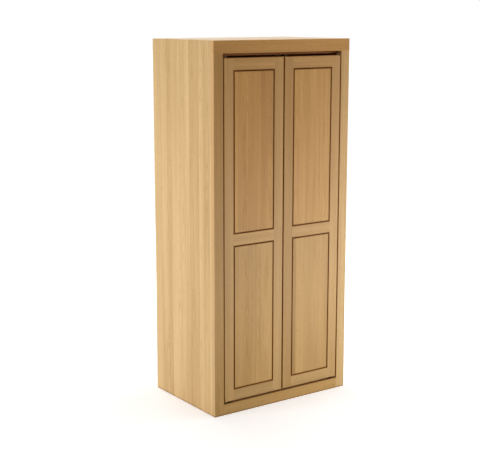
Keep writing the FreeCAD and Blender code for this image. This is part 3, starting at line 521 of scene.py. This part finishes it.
@dataclass(frozen=True)
class Outline:
    """An upright rectangle as seen from the front, in metres."""

    low_x: float
    high_x: float
    low_z: float
    high_z: float

    def inset(self, by: float) -> "Outline":
        """Return the rectangle that lies inside this one."""
        return Outline(self.low_x + by, self.high_x - by, self.low_z + by, self.high_z - by)

    def away(self, g: Graph, place: Socket) -> Socket:
        """Return how far a point is from the rectangle's nearest side.

        Args:
            g: The material's graph.
            place: The point, in the whole cupboard.

        Returns:
            The distance along X or Z.
        """
        x, _, z = g.parts(place)
        past = []
        for axis, low, high in ((x, self.low_x, self.high_x), (z, self.low_z, self.high_z)):
            off_centre = g.math("ABSOLUTE", g.math("SUBTRACT", axis, (low + high) / 2))
            past.append(g.math("SUBTRACT", off_centre, (high - low) / 2))
        return g.math("ABSOLUTE", g.math("MAXIMUM", *past))


@dataclass(frozen=True)
class Cut:
    """How one board was cut from its log, in metres.

    The running edge is the outline along which a door passes its frame. Beside the other outlines,
    which mark grooves and gaps, the face is painted darker: painted shade.
    """

    FIGURE = ("seed", "stave_width", "stave_contrast", "ring_width", "heart_depth", "heart_across")

    lay: Lay
    stave_width: float = 4.0
    stave_contrast: float = 0.5
    seed: int = 0
    ring_width: float = 3.4 * MM
    heart_depth: float = 0.07
    heart_across: float = 0.0
    lightness: float = 1.0
    running_edge: Outline | None = None
    shaded_edges: tuple[Outline, ...] = ()


def new_material(name: str) -> tuple[Material, Graph]:
    """Make a material.

    Args:
        name: Its name.

    Returns:
        The material and a graph of its nodes.
    """
    made = bpy.data.materials.new(name)
    made.use_nodes = True
    return made, Graph(made.node_tree)


@dataclass(frozen=True)
class Finish:
    """What the finishes of wood, metal and plastic have in common."""

    _: KW_ONLY
    metallic: float = 0.0
    roughness: float = 0.5
    specular: float = 0.5
    relief: float = 0.35
    relief_depth: float = 0.3 * MM
    wear: float = 0.4
    wear_reach: float = 1.6 * MM
    wear_gloss: float = -0.12

    def worn(self, g: Graph, effects: Effects, place: Socket) -> Socket:
        """Return where edges are worn."""
        return effects.wear.use(g, Place=place, Reach=self.wear_reach, Strength=self.wear)["Wear"]

    def close(self, g: Graph, shown: Feed, rough: Feed, height: Feed) -> None:
        """Feed the material's shader.

        Args:
            g: The material's graph.
            shown: The colour.
            rough: The roughness.
            height: The relief's height.
        """
        bump = g.plug(g.add("ShaderNodeBump"), Strength=self.relief, Distance=self.relief_depth,
                      Height=height)
        g.plug(g.tree.nodes["Principled BSDF"], Base_Color=shown, Roughness=rough,
               Metallic=self.metallic, Specular_IOR_Level=self.specular, Normal=bump["Normal"])


@dataclass(frozen=True)
class OakFinish(Finish):
    """Oak under a satin finish.

    The edge colours go on faces that turn away from the board's own face; on the face frame they
    are the case's paler oak, while its front colours are darker and browner: painted shade. The
    drift is what the colour is multiplied by at the cupboard's foot and at its head: painted shade,
    warmer and a little darker towards the head. The crevice shade, painted shade in grooves, gaps
    and inner corners, is lighter along a running edge.
    """

    pale: Display
    deep: Display
    rubbed: Display
    _: KW_ONLY
    specular: float = 0.32
    # Painted shade in grooves, gaps and inner corners: its strength, reach, roughness and tints.
    crevice_shade: float = 0.95
    crevice_reach: float = 12.0 * MM
    crevice_roughness: float = 0.5
    crevice_shade_tint: Colour = (0.3, 0.13, 0.02, 1.0)
    running_edge_shade_tint: Colour = (0.42, 0.18, 0.03, 1.0)
    running_reach: tuple[float, float] = (0.5 * MM, 1.5 * MM)
    # Painted shade beside grooves and gaps, with a wider and weaker halo.
    edge_shade_tint: Colour = (0.45, 0.27, 0.02, 1.0)
    edge_shade_reach: tuple[float, float] = (1.0 * MM, 4.0 * MM)
    halo_shade_tint: Colour = (0.99, 0.95, 0.72, 1.0)
    halo_reach: tuple[float, float] = (2.0 * MM, 10.0 * MM)
    dust: float = 0.0
    dust_colour: Display = (204, 196, 184)
    dust_roughness: float = 0.4
    edges: tuple[Display, Display] | None = None
    shade_drift: tuple[Colour, Colour] | None = None
    head_height: float = 2.0

    def edge_shaded(self, g: Graph, shown: Feed, place: Socket, depth: Feed, cut: Cut) -> Feed:
        """Paint shade on the face beside grooves and gaps, with a wider and weaker halo of shade.

        Args:
            g: The material's graph.
            shown: The colour so far.
            place: The coordinates in the whole cupboard.
            depth: The part of the normal that points in or out of the cupboard's front.
            cut: How the board was cut.

        Returns:
            The colour.
        """
        if not cut.shaded_edges:
            return shown
        flat = g.ramp(g.math("ABSOLUTE", depth), *FACING)
        distances = [edge.away(g, place) for edge in cut.shaded_edges]
        for tint, reach in ((self.halo_shade_tint, self.halo_reach), (self.edge_shade_tint, self.edge_shade_reach)):
            edge_shade: Feed = 0.0
            for away in distances:
                edge_shade = g.math("MAXIMUM", edge_shade, g.ramp(away, *reach, 1.0, 0.0))
            shown = g.mix(g.times(edge_shade, flat), shown, tint, "MULTIPLY")
        return shown

    def material(self, name: str, effects: Effects, middle: Vector, cut: Cut) -> Material:
        """Make the material of one board.

        Args:
            name: The material's name.
            effects: The shared groups.
            middle: The board's middle, which its grain is laid about.
            cut: How the board was cut.

        Returns:
            The material.
        """
        made, g = new_material(name)
        coordinates = g.add("ShaderNodeTexCoord").outputs
        whole, normal = coordinates["Object"], g.parts(coordinates["Normal"])
        place = g.vector("SUBTRACT", whole, tuple(middle))
        axes = g.parts(place)
        _, through, along = cut.lay.value
        pale, deep, rubbed = (linear(shade, cut.lightness)
                              for shade in (self.pale, self.deep, self.rubbed))
        # On the face frame, faces turned away from the front keep the case's paler oak, and the
        # front's own colours carry the painted shade.
        if self.edges:
            face = g.ramp(g.math("ABSOLUTE", normal[through]), *FACING)
            pale, deep = (g.mix(face, linear(edge), own)
                          for edge, own in zip(self.edges, (pale, deep)))
        oak = effects.oak.use(
            g, Place=g.joined(*(axes[k] for k in cut.lay.value)), Facing=normal[along],
            Pale=pale, Deep=deep, Base_Roughness=self.roughness,
            **{name.title(): getattr(cut, name) for name in cut.FIGURE},
        )
        # Paler worn edges: real wear, and in part a painted highlight along the arrises.
        wear = self.worn(g, effects, place)
        shown = g.mix(wear, oak["Color"], rubbed)
        # Painted shade: the front warmer and a little darker towards its head, cooler and lighter
        # at its foot.
        if self.shade_drift:
            rise = g.ramp(g.parts(whole)[2], 0.0, self.head_height)
            shown = g.mix(1.0, shown, g.mix(rise, *self.shade_drift), "MULTIPLY")
        # Painted shade beside grooves and gaps.
        shown = self.edge_shaded(g, shown, whole, normal[1], cut)
        # Painted shade: grooves, gaps and inner corners darkened by ambient occlusion, a little
        # less along a running edge.
        shade = effects.crevice_shade.use(g, Reach=self.crevice_reach, Strength=self.crevice_shade)["Shade"]
        tint = self.crevice_shade_tint
        if cut.running_edge:
            near = g.ramp(cut.running_edge.away(g, whole), *self.running_reach, 1.0, 0.0)
            tint = g.mix(near, tint, self.running_edge_shade_tint)
        shown = g.mix(shade, shown, tint, "MULTIPLY")
        rough = g.total(oak["Roughness"], (self.wear_gloss, wear), (self.crevice_roughness, shade))
        if self.dust:
            dust = effects.dust.use(g, Place=place, Upward=normal[2], Strength=self.dust)["Dust"]
            shown = g.mix(dust, shown, linear(self.dust_colour))
            rough = g.total(rough, (self.dust_roughness, dust))
        self.close(g, shown, rough, oak["Height"])
        return made


@dataclass(frozen=True)
class SkinFinish(Finish):
    """A metal or a moulded plastic, with edges that show brighter where they are rubbed."""

    bright: Display
    dull: Display
    rubbed: Display
    _: KW_ONLY
    metallic: float = 1.0
    relief: float = 0.15
    relief_depth: float = 0.05 * MM
    wear: float = 0.6
    wear_reach: float = 0.5 * MM
    wear_gloss: float = -0.1

    def material(self, name: str, effects: Effects) -> Material:
        """Make the material.

        Args:
            name: The material's name.
            effects: The shared groups.

        Returns:
            The material.
        """
        made, g = new_material(name)
        place = g.add("ShaderNodeTexCoord").outputs["Object"]
        group = effects.metal if self.metallic else effects.moulded
        skin = group.use(g, Place=place, Base_Roughness=self.roughness,
                         Bright=linear(self.bright), Dull=linear(self.dull))
        wear = self.worn(g, effects, place)
        self.close(g, g.mix(wear, skin["Color"], linear(self.rubbed)),
                   g.total(skin["Roughness"], (self.wear_gloss, wear)), skin["Height"])
        return made


# Painted shade for the front: its colour multiplied by the first at the foot and by the second at
# the head.
FRONT_SHADE_DRIFT = ((0.975, 1.01, 1.08, 1.0), (1.03, 0.965, 0.92, 1.0))
# The front's finishes are darker and browner than the case's oak: painted shade, as the front
# stands out of the light that falls on the side.
FRAME = OakFinish((198, 158, 93), (172, 131, 69), (208, 174, 113),
                  edges=((221, 186, 133), (199, 161, 107)), shade_drift=FRONT_SHADE_DRIFT)
# The top rail's finish is redder still: painted shade at the head of the front.
FRAME_HEAD = OakFinish((196, 150, 82), (170, 124, 60), (206, 168, 107),
                       edges=((230, 198, 146), (206, 170, 116)), shade_drift=FRONT_SHADE_DRIFT)
# The right stile's finish is paler: painted light on the side of the front that the light falls on.
FRAME_LIT = OakFinish((203, 168, 111), (178, 141, 86), (214, 183, 128),
                       edges=((214, 178, 125), (192, 153, 99)), shade_drift=FRONT_SHADE_DRIFT)
DOOR = OakFinish((198, 158, 98), (172, 132, 74), (207, 174, 116),
                 crevice_shade_tint=(0.5, 0.22, 0.01, 1.0), shade_drift=FRONT_SHADE_DRIFT)
PANEL = replace(DOOR, pale=(197, 157, 93), deep=(166, 125, 66), rubbed=(206, 170, 109))
# The upper left panel's finish is warmer and a little darker: painted shade for the upper left of
# the front.
PANEL_SHADED = replace(DOOR, pale=(197, 152, 83), deep=(166, 121, 60), rubbed=(206, 164, 99))
CASE = OakFinish((218, 185, 133), (195, 159, 105), (226, 200, 152))
CASE_TOP = OakFinish((222, 192, 146), (202, 168, 120), (230, 206, 164),
                     roughness=0.36, specular=0.6, dust=0.35)
SHADED = OakFinish((184, 122, 50), (156, 98, 34), (190, 138, 70))
INSIDE = OakFinish((218, 182, 130), (194, 154, 102), (226, 194, 146),
                   roughness=0.56, specular=0.34, dust=0.22)
TURNED = OakFinish((212, 170, 116), (182, 139, 86), (226, 190, 138), roughness=0.38, wear=0.2)
BEECH = OakFinish((224, 190, 150), (208, 168, 126), (232, 204, 168), roughness=0.6)
SKINS = {
    "pivot_steel": SkinFinish((96, 78, 62), (58, 46, 38), (168, 138, 104), roughness=0.44),
    "bronze_bush": SkinFinish((206, 158, 96), (158, 112, 62), (232, 192, 132), roughness=0.36),
    "strike_steel": SkinFinish((196, 197, 198), (150, 152, 154), (226, 226, 226), roughness=0.3),
    "screw_steel": SkinFinish((204, 196, 172), (158, 148, 120), (228, 224, 206), roughness=0.32),
    "pin_steel": SkinFinish((200, 201, 203), (160, 162, 165), (228, 228, 228), roughness=0.26),
    "magnet": SkinFinish((72, 60, 50), (50, 42, 35), (112, 98, 84), roughness=0.52),
    "catch_plastic": SkinFinish((88, 52, 24), (66, 38, 16), (112, 74, 42), roughness=0.58,
                                metallic=0.0, specular=0.2),
    "washer_nylon": SkinFinish((104, 88, 74), (84, 70, 58), (132, 116, 100), roughness=0.5,
                               metallic=0.0, specular=0.3),
}


# --- mesh building
def new_piece(name: str, bm: BMesh) -> bpy.types.Object:
    """Turn a bmesh into a shown object, smooth except at its sharp edges.

    Args:
        name: The piece's name.
        bm: The mesh under construction, which is freed.

    Returns:
        The object.
    """
    mesh = bpy.data.meshes.new(name)
    bm.to_mesh(mesh)
    bm.free()
    mesh.polygons.foreach_set("use_smooth", [True] * len(mesh.polygons))
    mesh.set_sharp_from_angle(angle=SMOOTH_BELOW)
    made = bpy.data.objects.new(name, mesh)
    bpy.context.scene.collection.objects.link(made)
    return made


def welded(node: str) -> BMesh:
    """Copy a CAD node's mesh with its faces joined.

    Args:
        node: The node's name.

    Returns:
        The new mesh.
    """
    bm = bmesh.new()
    bm.from_mesh(frame["nodes"][node].data)
    bmesh.ops.remove_doubles(bm, verts=bm.verts, dist=WELD)
    return bm


def loose_parts(node: str) -> list[list[Vector]]:
    """Find the separate solids of a CAD node.

    Args:
        node: The node's name.

    Returns:
        The points of each solid, sorted by their lowest corner.
    """
    bm = welded(node)
    left, found = set(bm.verts), []
    while left:
        part, edge = set(), {next(iter(left))}
        while edge:
            part |= edge
            edge = {e.other_vert(v) for v in edge for e in v.link_edges} - part
        left -= part
        found.append([v.co.copy() for v in part])
    bm.free()
    return sorted(found, key=lambda points: tuple(round(min(p[k] for p in points), 6)
                                                  for k in range(3)))


def softened(node: str, width: float, segments: int = 3) -> BMesh:
    """Copy a CAD node's shape with its sharp edges rounded.

    Args:
        node: The node's name.
        width: How far each rounding reaches from its edge, in metres.
        segments: Faces across each rounding.

    Returns:
        The new mesh.
    """
    bm = welded(node)
    bmesh.ops.dissolve_limit(bm, angle_limit=FLAT_BELOW, verts=bm.verts, edges=bm.edges)
    sharp = [e for e in bm.edges if len(e.link_faces) == 2 and e.calc_face_angle(0.0) > SHARP_ABOVE]
    bmesh.ops.bevel(bm, geom=sharp, offset=width, segments=segments, profile=0.5, affect="EDGES",
                    clamp_overlap=True)
    return bm


@dataclass
class Screw:
    """A countersunk screw with a cross recess, its head's top at the origin and its tip below.

    The rim and the pitch are in metres. The recess is measured in head radii, the head, neck, bare
    length, core, crest and tip in shank radii, and the thread's root and flank in pitches.
    """

    radius: float
    length: float
    sides: int = 32
    pitch: float = 1.3 * MM
    rim: float = 0.15 * MM
    head: float = 2.0
    recess_reach: float = 0.62
    recess_half_width: float = 0.15
    recess_depth: float = 0.45
    recess_taper: float = 0.45
    neck: float = 1.3
    bare: float = 3.0
    core: float = 0.72
    crest: float = 0.98
    tip: float = 0.25
    root: float = 0.45
    flank: float = 0.7

    def profile(self) -> Points:
        """List the rings of the screw.

        Returns:
            Radius and height of each ring from the head's rim down to the tip.
        """
        radius, pitch = self.radius, self.pitch
        head = self.head * radius
        rings = [(head - self.rim, 0.0), (head, -self.rim), (radius, radius - head)]
        for turn in range(int((self.length - self.bare * radius) / pitch)):
            start = -self.neck * radius - turn * pitch
            rings += [(self.core * radius, start), (self.core * radius, start - self.root * pitch),
                      (self.crest * radius, start - self.flank * pitch)]
        return [*rings, (self.tip * radius, self.rim - self.length)]

    def recess(self, scale: float) -> Points:
        """Outline the cross.

        Args:
            scale: Its share of its full size.

        Returns:
            Its twelve points.
        """
        far, near = (self.head * self.radius * share * scale
                     for share in (self.recess_reach, self.recess_half_width))
        return [tuple(Matrix.Rotation(quarter * math.pi / 2, 2) @ Vector(p))
                for quarter in range(4) for p in ((far, near), (near, near), (near, far))]

    def build(self, bm: BMesh, placed: Matrix) -> None:
        """Add the screw to a mesh.

        Args:
            bm: The mesh under construction.
            placed: Where the screw goes.
        """
        def ring(points: Points, height: float) -> Ring:
            """Return a ring of new points."""
            return [bm.verts.new(placed @ Vector((x, y, height))) for x, y in points]

        def wall(upper: Ring, lower: Ring) -> None:
            """Join two rings by faces."""
            for k, after in enumerate([*range(1, len(upper)), 0]):
                bm.faces.new((upper[k], lower[k], lower[after], upper[after]))

        angles = [2 * math.pi * k / self.sides for k in range(self.sides)]
        loops = [ring([(r * math.cos(a), r * math.sin(a)) for a in angles], z)
                 for r, z in self.profile()]
        for upper, lower in pairwise(loops):
            wall(upper, lower)
        bm.faces.new(list(reversed(loops[-1])))
        cross = ring(self.recess(1.0), 0.0)
        pit = ring(self.recess(self.recess_taper), -self.head * self.radius * self.recess_depth)
        rim = [bm.edges.get(ends) for ends in pairwise([*loops[0], loops[0][0]])]
        outline = [bm.edges.new(ends) for ends in pairwise([*cross, cross[0]])]
        bmesh.ops.triangle_fill(bm, use_beauty=True, edges=rim + outline)
        wall(cross, pit)
        bm.faces.new(pit)


# --- sub-assemblies
@dataclass
class Assembly:
    """A group of pieces that a maker would fit together at one bench."""

    RIM_SHARE = 0.49
    FIRST_TURN, NEXT_TURN = 11.0, 37.0

    effects: Effects
    skins: dict[str, Material]

    def wood(self, node: str, finish: OakFinish, cut: Cut) -> None:
        """Give a board its oak.

        Args:
            node: The board's CAD node.
            finish: Its finish.
            cut: How it was cut.
        """
        low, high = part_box(node)
        made = finish.material(f"{node}_oak", self.effects, (low + high) / 2, cut)
        for slot in frame["nodes"][node].material_slots:
            slot.material = made
        LOG.info("%s: board, grain %s", node, cut.lay.name.lower())

    def stand_in(self, node: str, bm: BMesh, suffix: str) -> None:
        """Show a detailed piece in place of a CAD node, on the same body.

        Args:
            node: The node's name.
            bm: The detailed mesh.
            suffix: What is added to the node's name.
        """
        source = frame["nodes"][node]
        slot = source.material_slots[0].name
        piece = new_piece(f"{node}_{suffix}", bm)
        piece.data.materials.append(self.skins[slot])
        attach(piece, source["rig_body"])
        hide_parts(node)
        LOG.info("%s: %s", node, suffix)

    def soften(self, node: str, width: float) -> None:
        """Replace a fitting by one whose edges are rounded by this width in metres."""
        self.stand_in(node, softened(node, width), "soft_edged")

    def screws(self, node: str) -> None:
        """Replace a node's screws by detailed ones.

        Args:
            node: The CAD node of the screws.
        """
        bm = bmesh.new()
        for number, points in enumerate(loose_parts(node)):
            low, high = (Vector([end(p[k] for p in points) for k in range(3)])
                         for end in (min, max))
            size, middle = high - low, (low + high) / 2
            axis = max(range(3), key=lambda k: size[k])
            breadth = max(size[k] for k in range(3) if k != axis)
            along = Vector([float(k == axis) for k in range(3)])
            offsets = [p - middle for p in points]
            rim = [o[axis] for o in offsets
                   if (o - o[axis] * along).length > self.RIM_SHARE * breadth]
            outward = along if sum(rim) > 0.0 else -along
            top = middle + outward * size[axis] / 2
            angle = math.radians(self.FIRST_TURN + self.NEXT_TURN * number)
            placed = (Matrix.LocRotScale(top, outward.to_track_quat("Z", "Y"), None)
                      @ Matrix.Rotation(angle, 4, "Z"))
            Screw(radius=breadth / 2 / Screw.head, length=size[axis]).build(bm, placed)
        bmesh.ops.recalc_face_normals(bm, faces=bm.faces)
        self.stand_in(node, bm, "threaded")


@dataclass
class Case(Assembly):
    """Sides, top, bottom and back."""

    side_stave: float = 0.062
    side_contrast: float = 0.55
    panel_stave: float = 0.085
    back_stave: float = 0.11
    back_contrast: float = 0.4

    def build(self) -> None:
        """Dress the case."""
        for seed, side in ((11, "left"), (31, "right")):
            self.wood(f"side_panel_{side}", CASE,
                      Cut(Lay.SIDE_UPRIGHT, self.side_stave, self.side_contrast, seed=seed))
        self.wood("top_panel", CASE_TOP, Cut(Lay.FLAT_LEVEL, self.panel_stave, seed=17))
        self.wood("bottom_panel", INSIDE, Cut(Lay.FLAT_LEVEL, self.panel_stave, seed=23))
        self.wood("back_panel", INSIDE,
                  Cut(Lay.FRONT_UPRIGHT, self.back_stave, self.back_contrast, seed=37))
        for seed, rail in ((41, "back_rail_top"), (42, "back_rail_bottom")):
            self.wood(rail, INSIDE, Cut(Lay.FRONT_LEVEL, seed=seed))
        self.wood("head_rail", SHADED, Cut(Lay.FRONT_LEVEL, seed=43))
        self.screws("back_screws")


@dataclass
class FaceFrame(Assembly):
    """The frame on the case's front edges, and its dowels."""

    heart_depth: float = 0.11
    heart_across: float = 0.14

    def build(self) -> None:
        """Dress the face frame."""
        opening = Outline(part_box("frame_stile_left")[1].x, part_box("frame_stile_right")[0].x,
                          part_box("frame_bottom_rail")[1].z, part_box("frame_top_rail")[0].z)
        stile = Cut(Lay.FRONT_UPRIGHT, seed=51, heart_depth=self.heart_depth,
                    heart_across=self.heart_across, running_edge=opening)
        rail = replace(stile, lay=Lay.FRONT_LEVEL)
        # Painted shade along the gap round the doors, on the right stile and the bottom rail.
        edge_shaded = (opening,)
        self.wood("frame_stile_left", FRAME, stile)
        self.wood("frame_stile_right", FRAME_LIT, replace(stile, seed=52, shaded_edges=edge_shaded))
        self.wood("frame_top_rail", FRAME_HEAD, replace(rail, seed=55))
        self.wood("frame_bottom_rail", FRAME, replace(rail, seed=56, shaded_edges=edge_shaded))
        self.wood("frame_dowels", BEECH, Cut(Lay.TURNED_DEEP, seed=59))


class Hand(Enum):
    """Which way a door is hung."""

    LEFT = "door_left"
    RIGHT = "door_right"


@dataclass
class Door(Assembly):
    """One framed door with its two panels, bushes and strike plates."""

    hand: Hand = Hand.LEFT
    first_seed: int = 61
    upper_panel: OakFinish = PANEL
    lightness: dict[str, float] = field(default_factory=dict)
    lower_contrast: float = 0.5
    panel_stave: float = 0.078
    panel_groove: float = 5.0 * MM
    panel_heart: float = 0.08
    heart_depth: float = 0.1
    heart_across: float = 0.13
    bush_edge: float = 0.25 * MM
    strike_edge: float = 0.3 * MM

    def member(self, part: str, finish: OakFinish, cut: Cut) -> None:
        """Give one board of the door its oak, as light as that board is."""
        self.wood(f"{self.hand.value}_{part}", finish,
                  replace(cut, lightness=self.lightness.get(part, 1.0)))

    def openings(self) -> tuple[Outline, Outline, Outline]:
        """Find where the panels go.

        Returns:
            The outlines of the door, of its upper opening and of its lower one.
        """
        name = self.hand.value
        left, right = sorted((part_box(f"{name}_stile_{end}") for end in ("hinge", "meeting")),
                             key=lambda box: box[0].x)
        top, middle, bottom = (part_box(f"{name}_rail_{at}") for at in ("top", "middle", "bottom"))
        return (Outline(left[0].x, right[1].x, left[0].z, left[1].z),
                Outline(left[1].x, right[0].x, middle[1].z, top[0].z),
                Outline(left[1].x, right[0].x, bottom[1].z, middle[0].z))

    def build(self) -> None:
        """Dress the door."""
        outer, upper, lower = self.openings()
        # Painted shade beside the door's outer gap and its panel grooves.
        stile = Cut(Lay.FRONT_UPRIGHT, seed=self.first_seed, heart_depth=self.heart_depth,
                    heart_across=self.heart_across, running_edge=outer,
                    shaded_edges=(outer, upper, lower))
        rail = replace(stile, lay=Lay.FRONT_LEVEL)
        for number, (part, cut) in enumerate((
                ("stile_hinge", stile), ("stile_meeting", stile),
                ("rail_top", rail), ("rail_middle", rail), ("rail_bottom", rail))):
            self.member(part, DOOR, replace(cut, seed=self.first_seed + number))
        # Painted shade beside the panel's grooves.
        panel = Cut(Lay.FRONT_UPRIGHT, self.panel_stave, seed=self.first_seed + 5,
                    heart_depth=self.panel_heart,
                    shaded_edges=(upper.inset(self.panel_groove),))
        self.member("panel_upper", self.upper_panel, panel)
        self.member("panel_lower", PANEL,
                    replace(panel, seed=self.first_seed + 6, stave_contrast=self.lower_contrast,
                            shaded_edges=(lower.inset(self.panel_groove),)))
        self.soften(f"{self.hand.value}_bushes", self.bush_edge)
        self.soften(f"{self.hand.value}_strikes", self.strike_edge)
        self.screws(f"{self.hand.value}_strike_screws")


LEFT_DOOR_LIGHTNESS = {"stile_hinge": 0.98, "stile_meeting": 0.93, "rail_top": 1.04,
                       "rail_middle": 1.03, "rail_bottom": 0.86, "panel_lower": 1.03}
RIGHT_DOOR_LIGHTNESS = {"stile_hinge": 0.92, "stile_meeting": 0.97, "rail_top": 1.02,
                        "rail_middle": 0.96, "rail_bottom": 0.87, "panel_upper": 1.16,
                        "panel_lower": 0.95}


@dataclass
class Pivots(Assembly):
    """What the doors turn on: plates, pins and thrust washers."""

    plate_edge: float = 0.5 * MM
    pin_edge: float = 0.4 * MM
    washer_edge: float = 0.2 * MM

    def build(self) -> None:
        """Dress the pivots."""
        for end in ("bottom", "top"):
            for side in ("left", "right"):
                self.soften(f"pivot_plate_{end}_{side}", self.plate_edge)
            self.soften(f"pivot_pins_{end}", self.pin_edge)
        self.soften("thrust_washers", self.washer_edge)
        self.screws("pivot_plate_screws")


@dataclass
class Catches(Assembly):
    """Magnetic catches that hold the doors shut."""

    housing_edge: float = 0.8 * MM
    magnet_edge: float = 0.3 * MM

    def build(self) -> None:
        """Dress the catches."""
        for end in ("bottom", "top"):
            for side in ("left", "right"):
                self.soften(f"catch_{end}_{side}", self.housing_edge)
        self.soften("catch_magnets", self.magnet_edge)
        self.screws("catch_screws")


@dataclass
class Fittings(Assembly):
    """Partition, shelves and the peg rail."""

    shelf_stave: float = 0.09
    shelf_contrast: float = 0.45
    peg_rings: float = 2.2 * MM
    peg_heart: float = 0.03
    pin_edge: float = 0.35 * MM

    def build(self) -> None:
        """Dress the fittings."""
        board = Cut(Lay.SIDE_UPRIGHT, self.shelf_stave, self.shelf_contrast, seed=81)
        self.wood("partition", INSIDE, board)
        for seed, shelf in enumerate(("top_shelf", "shelf_upper", "shelf_middle", "shelf_lower"),
                                     start=83):
            self.wood(shelf, INSIDE, replace(board, lay=Lay.FLAT_LEVEL, seed=seed))
        self.wood("peg_rail", INSIDE, Cut(Lay.FRONT_LEVEL, seed=91))
        for seed, side in enumerate(("left", "middle", "right"), start=93):
            self.wood(f"broom_peg_{side}", TURNED,
                      Cut(Lay.TURNED_DEEP, seed=seed, ring_width=self.peg_rings,
                          heart_depth=self.peg_heart))
        self.soften("shelf_pins", self.pin_edge)


# --- studio
def aim(holder: bpy.types.Object, way: Vector) -> None:
    """Point a lamp or a camera and show it in the scene."""
    holder.rotation_euler = way.to_track_quat("-Z", "Y").to_euler()
    bpy.context.scene.collection.objects.link(holder)


@dataclass(frozen=True)
class Softbox:
    """A square area lamp."""

    name: str
    place: Triple
    target: Triple
    size: float
    power: float

    def build(self) -> None:
        """Add the lamp."""
        lamp = bpy.data.lights.new(self.name, "AREA")
        lamp.shape = "SQUARE"
        lamp.size = self.size
        lamp.energy = self.power
        holder = bpy.data.objects.new(self.name, lamp)
        holder.visible_camera = False
        holder.location = self.place
        aim(holder, Vector(self.target) - Vector(self.place))


@dataclass
class Studio:
    """Pale floor, white surroundings, soft lamps and the camera."""

    floor_radius: float = 60.0
    floor_sides: int = 96
    floor_colour: Colour = (0.8, 0.8, 0.8, 1.0)
    near_glow: float = 0.45
    glow_from: float = 0.9
    glow_to: float = 2.6
    ambient: float = 0.15
    ambient_tint: Colour = (1.0, 0.92, 0.86, 1.0)
    camera_place: Triple = (-3.534, -4.926, 2.127)
    camera_yaw: float = 35.07
    camera_pitch: float = -10.89
    camera_lens: float = 81.73
    camera_sensor: float = 36.0
    lamps: tuple[Softbox, ...] = (
        Softbox("left_softbox", (-4.2, 0.4, 1.0), (-0.45, 0.0, 1.0), 2.0, 112.0),
        Softbox("top_softbox", (0.2, 0.2, 4.6), (0.0, 0.0, 2.0), 2.2, 68.0),
        Softbox("low_softbox_left", (0.4, -1.7, 0.42), (0.0, -0.3, 1.0), 0.8, 6.1),
        Softbox("low_softbox_right", (1.6, -2.0, 0.36), (0.1, -0.3, 0.9), 0.6, 19.0),
        Softbox("front_softbox", (3.2, -1.5, 1.0), (0.0, -0.3, 0.9), 1.3, 43.0),
        Softbox("right_softbox", (4.2, 0.9, 1.8), (0.45, 0.0, 1.0), 2.0, 28.0),
        Softbox("back_softbox", (0.3, 4.6, 2.2), (0.0, 0.3, 1.0), 2.2, 90.0),
    )

    def seen(self, g: Graph) -> Socket:
        """Tell rays that show the surroundings from those that gather light.

        Args:
            g: The graph of the floor or the world.

        Returns:
            1 where the surroundings show, otherwise 0.
        """
        rays = g.add("ShaderNodeLightPath").outputs
        seen = g.math("MAXIMUM", rays["Is Camera Ray"], rays["Is Glossy Ray"])
        return g.math("MAXIMUM", seen, rays["Is Transmission Ray"])

    def build_floor(self) -> None:
        """Add the floor, white to the eye except where the object shades it."""
        bm = bmesh.new()
        bmesh.ops.create_circle(bm, cap_ends=True, radius=self.floor_radius,
                                segments=self.floor_sides)
        floor = new_piece("studio_floor", bm)
        made, g = new_material("studio_floor")
        g.tree.nodes.remove(g.tree.nodes["Principled BSDF"])
        diffuse = g.add("ShaderNodeBsdfDiffuse", self.floor_colour)
        x, y, _ = g.parts(g.add("ShaderNodeTexCoord").outputs["Object"])
        reach = g.math("SQRT", g.total(g.times(y, y), (x, x)))
        glow = g.ramp(reach, self.glow_from, self.glow_to, self.near_glow, 1.0)
        emission = g.add("ShaderNodeEmission", WHITE, g.times(glow, self.seen(g)))
        both = g.add("ShaderNodeAddShader", diffuse.outputs[0], emission.outputs[0])
        g.plug(g.tree.nodes["Material Output"], Surface=both.outputs[0])
        floor.data.materials.append(made)

    def build_world(self) -> None:
        """Add the surroundings: even light, and plain white where they are seen."""
        world = bpy.data.worlds.new("studio")
        bpy.context.scene.world = world
        world.use_nodes = True
        g = Graph(world.node_tree)
        g.tree.nodes.clear()
        light = g.add("ShaderNodeBackground", self.ambient_tint, self.ambient)
        white = g.add("ShaderNodeBackground", WHITE, 1.0)
        either = g.add("ShaderNodeMixShader", self.seen(g), light.outputs[0], white.outputs[0])
        g.add("ShaderNodeOutputWorld", either.outputs[0])

    def build_camera(self) -> None:
        """Add the camera."""
        lens = bpy.data.cameras.new("camera")
        lens.lens = self.camera_lens
        lens.sensor_width = self.camera_sensor
        holder = bpy.data.objects.new("camera", lens)
        holder.location = self.camera_place
        yaw, pitch = math.radians(self.camera_yaw), math.radians(self.camera_pitch)
        aim(holder, Vector((math.sin(yaw) * math.cos(pitch), math.cos(yaw) * math.cos(pitch),
                            math.sin(pitch))))
        bpy.context.scene.camera = holder

    def build(self) -> None:
        """Add everything that isn't the object."""
        self.build_floor()
        self.build_world()
        for lamp in self.lamps:
            lamp.build()
        self.build_camera()
        bpy.context.scene.view_settings.view_transform = "Standard"
        LOG.info("studio: %d lamps", len(self.lamps))


def main() -> None:
    """Build the studio and the sub-assemblies, and log what is built."""
    logging.basicConfig(level=logging.INFO, format="%(name)s: %(message)s")
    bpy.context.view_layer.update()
    Studio().build()
    effects = Effects()
    skins = {slot: skin.material(f"{slot}_skin", effects) for slot, skin in SKINS.items()}
    shared = (effects, skins)
    for assembly in (Case(*shared), FaceFrame(*shared),
                     Door(*shared, Hand.LEFT, first_seed=61, upper_panel=PANEL_SHADED,
                          lightness=LEFT_DOOR_LIGHTNESS, lower_contrast=0.2),
                     Door(*shared, Hand.RIGHT, first_seed=71, lightness=RIGHT_DOOR_LIGHTNESS),
                     Pivots(*shared), Catches(*shared), Fittings(*shared)):
        LOG.info("building %s", type(assembly).__name__)
        assembly.build()


if __name__ == "__main__":
    main()
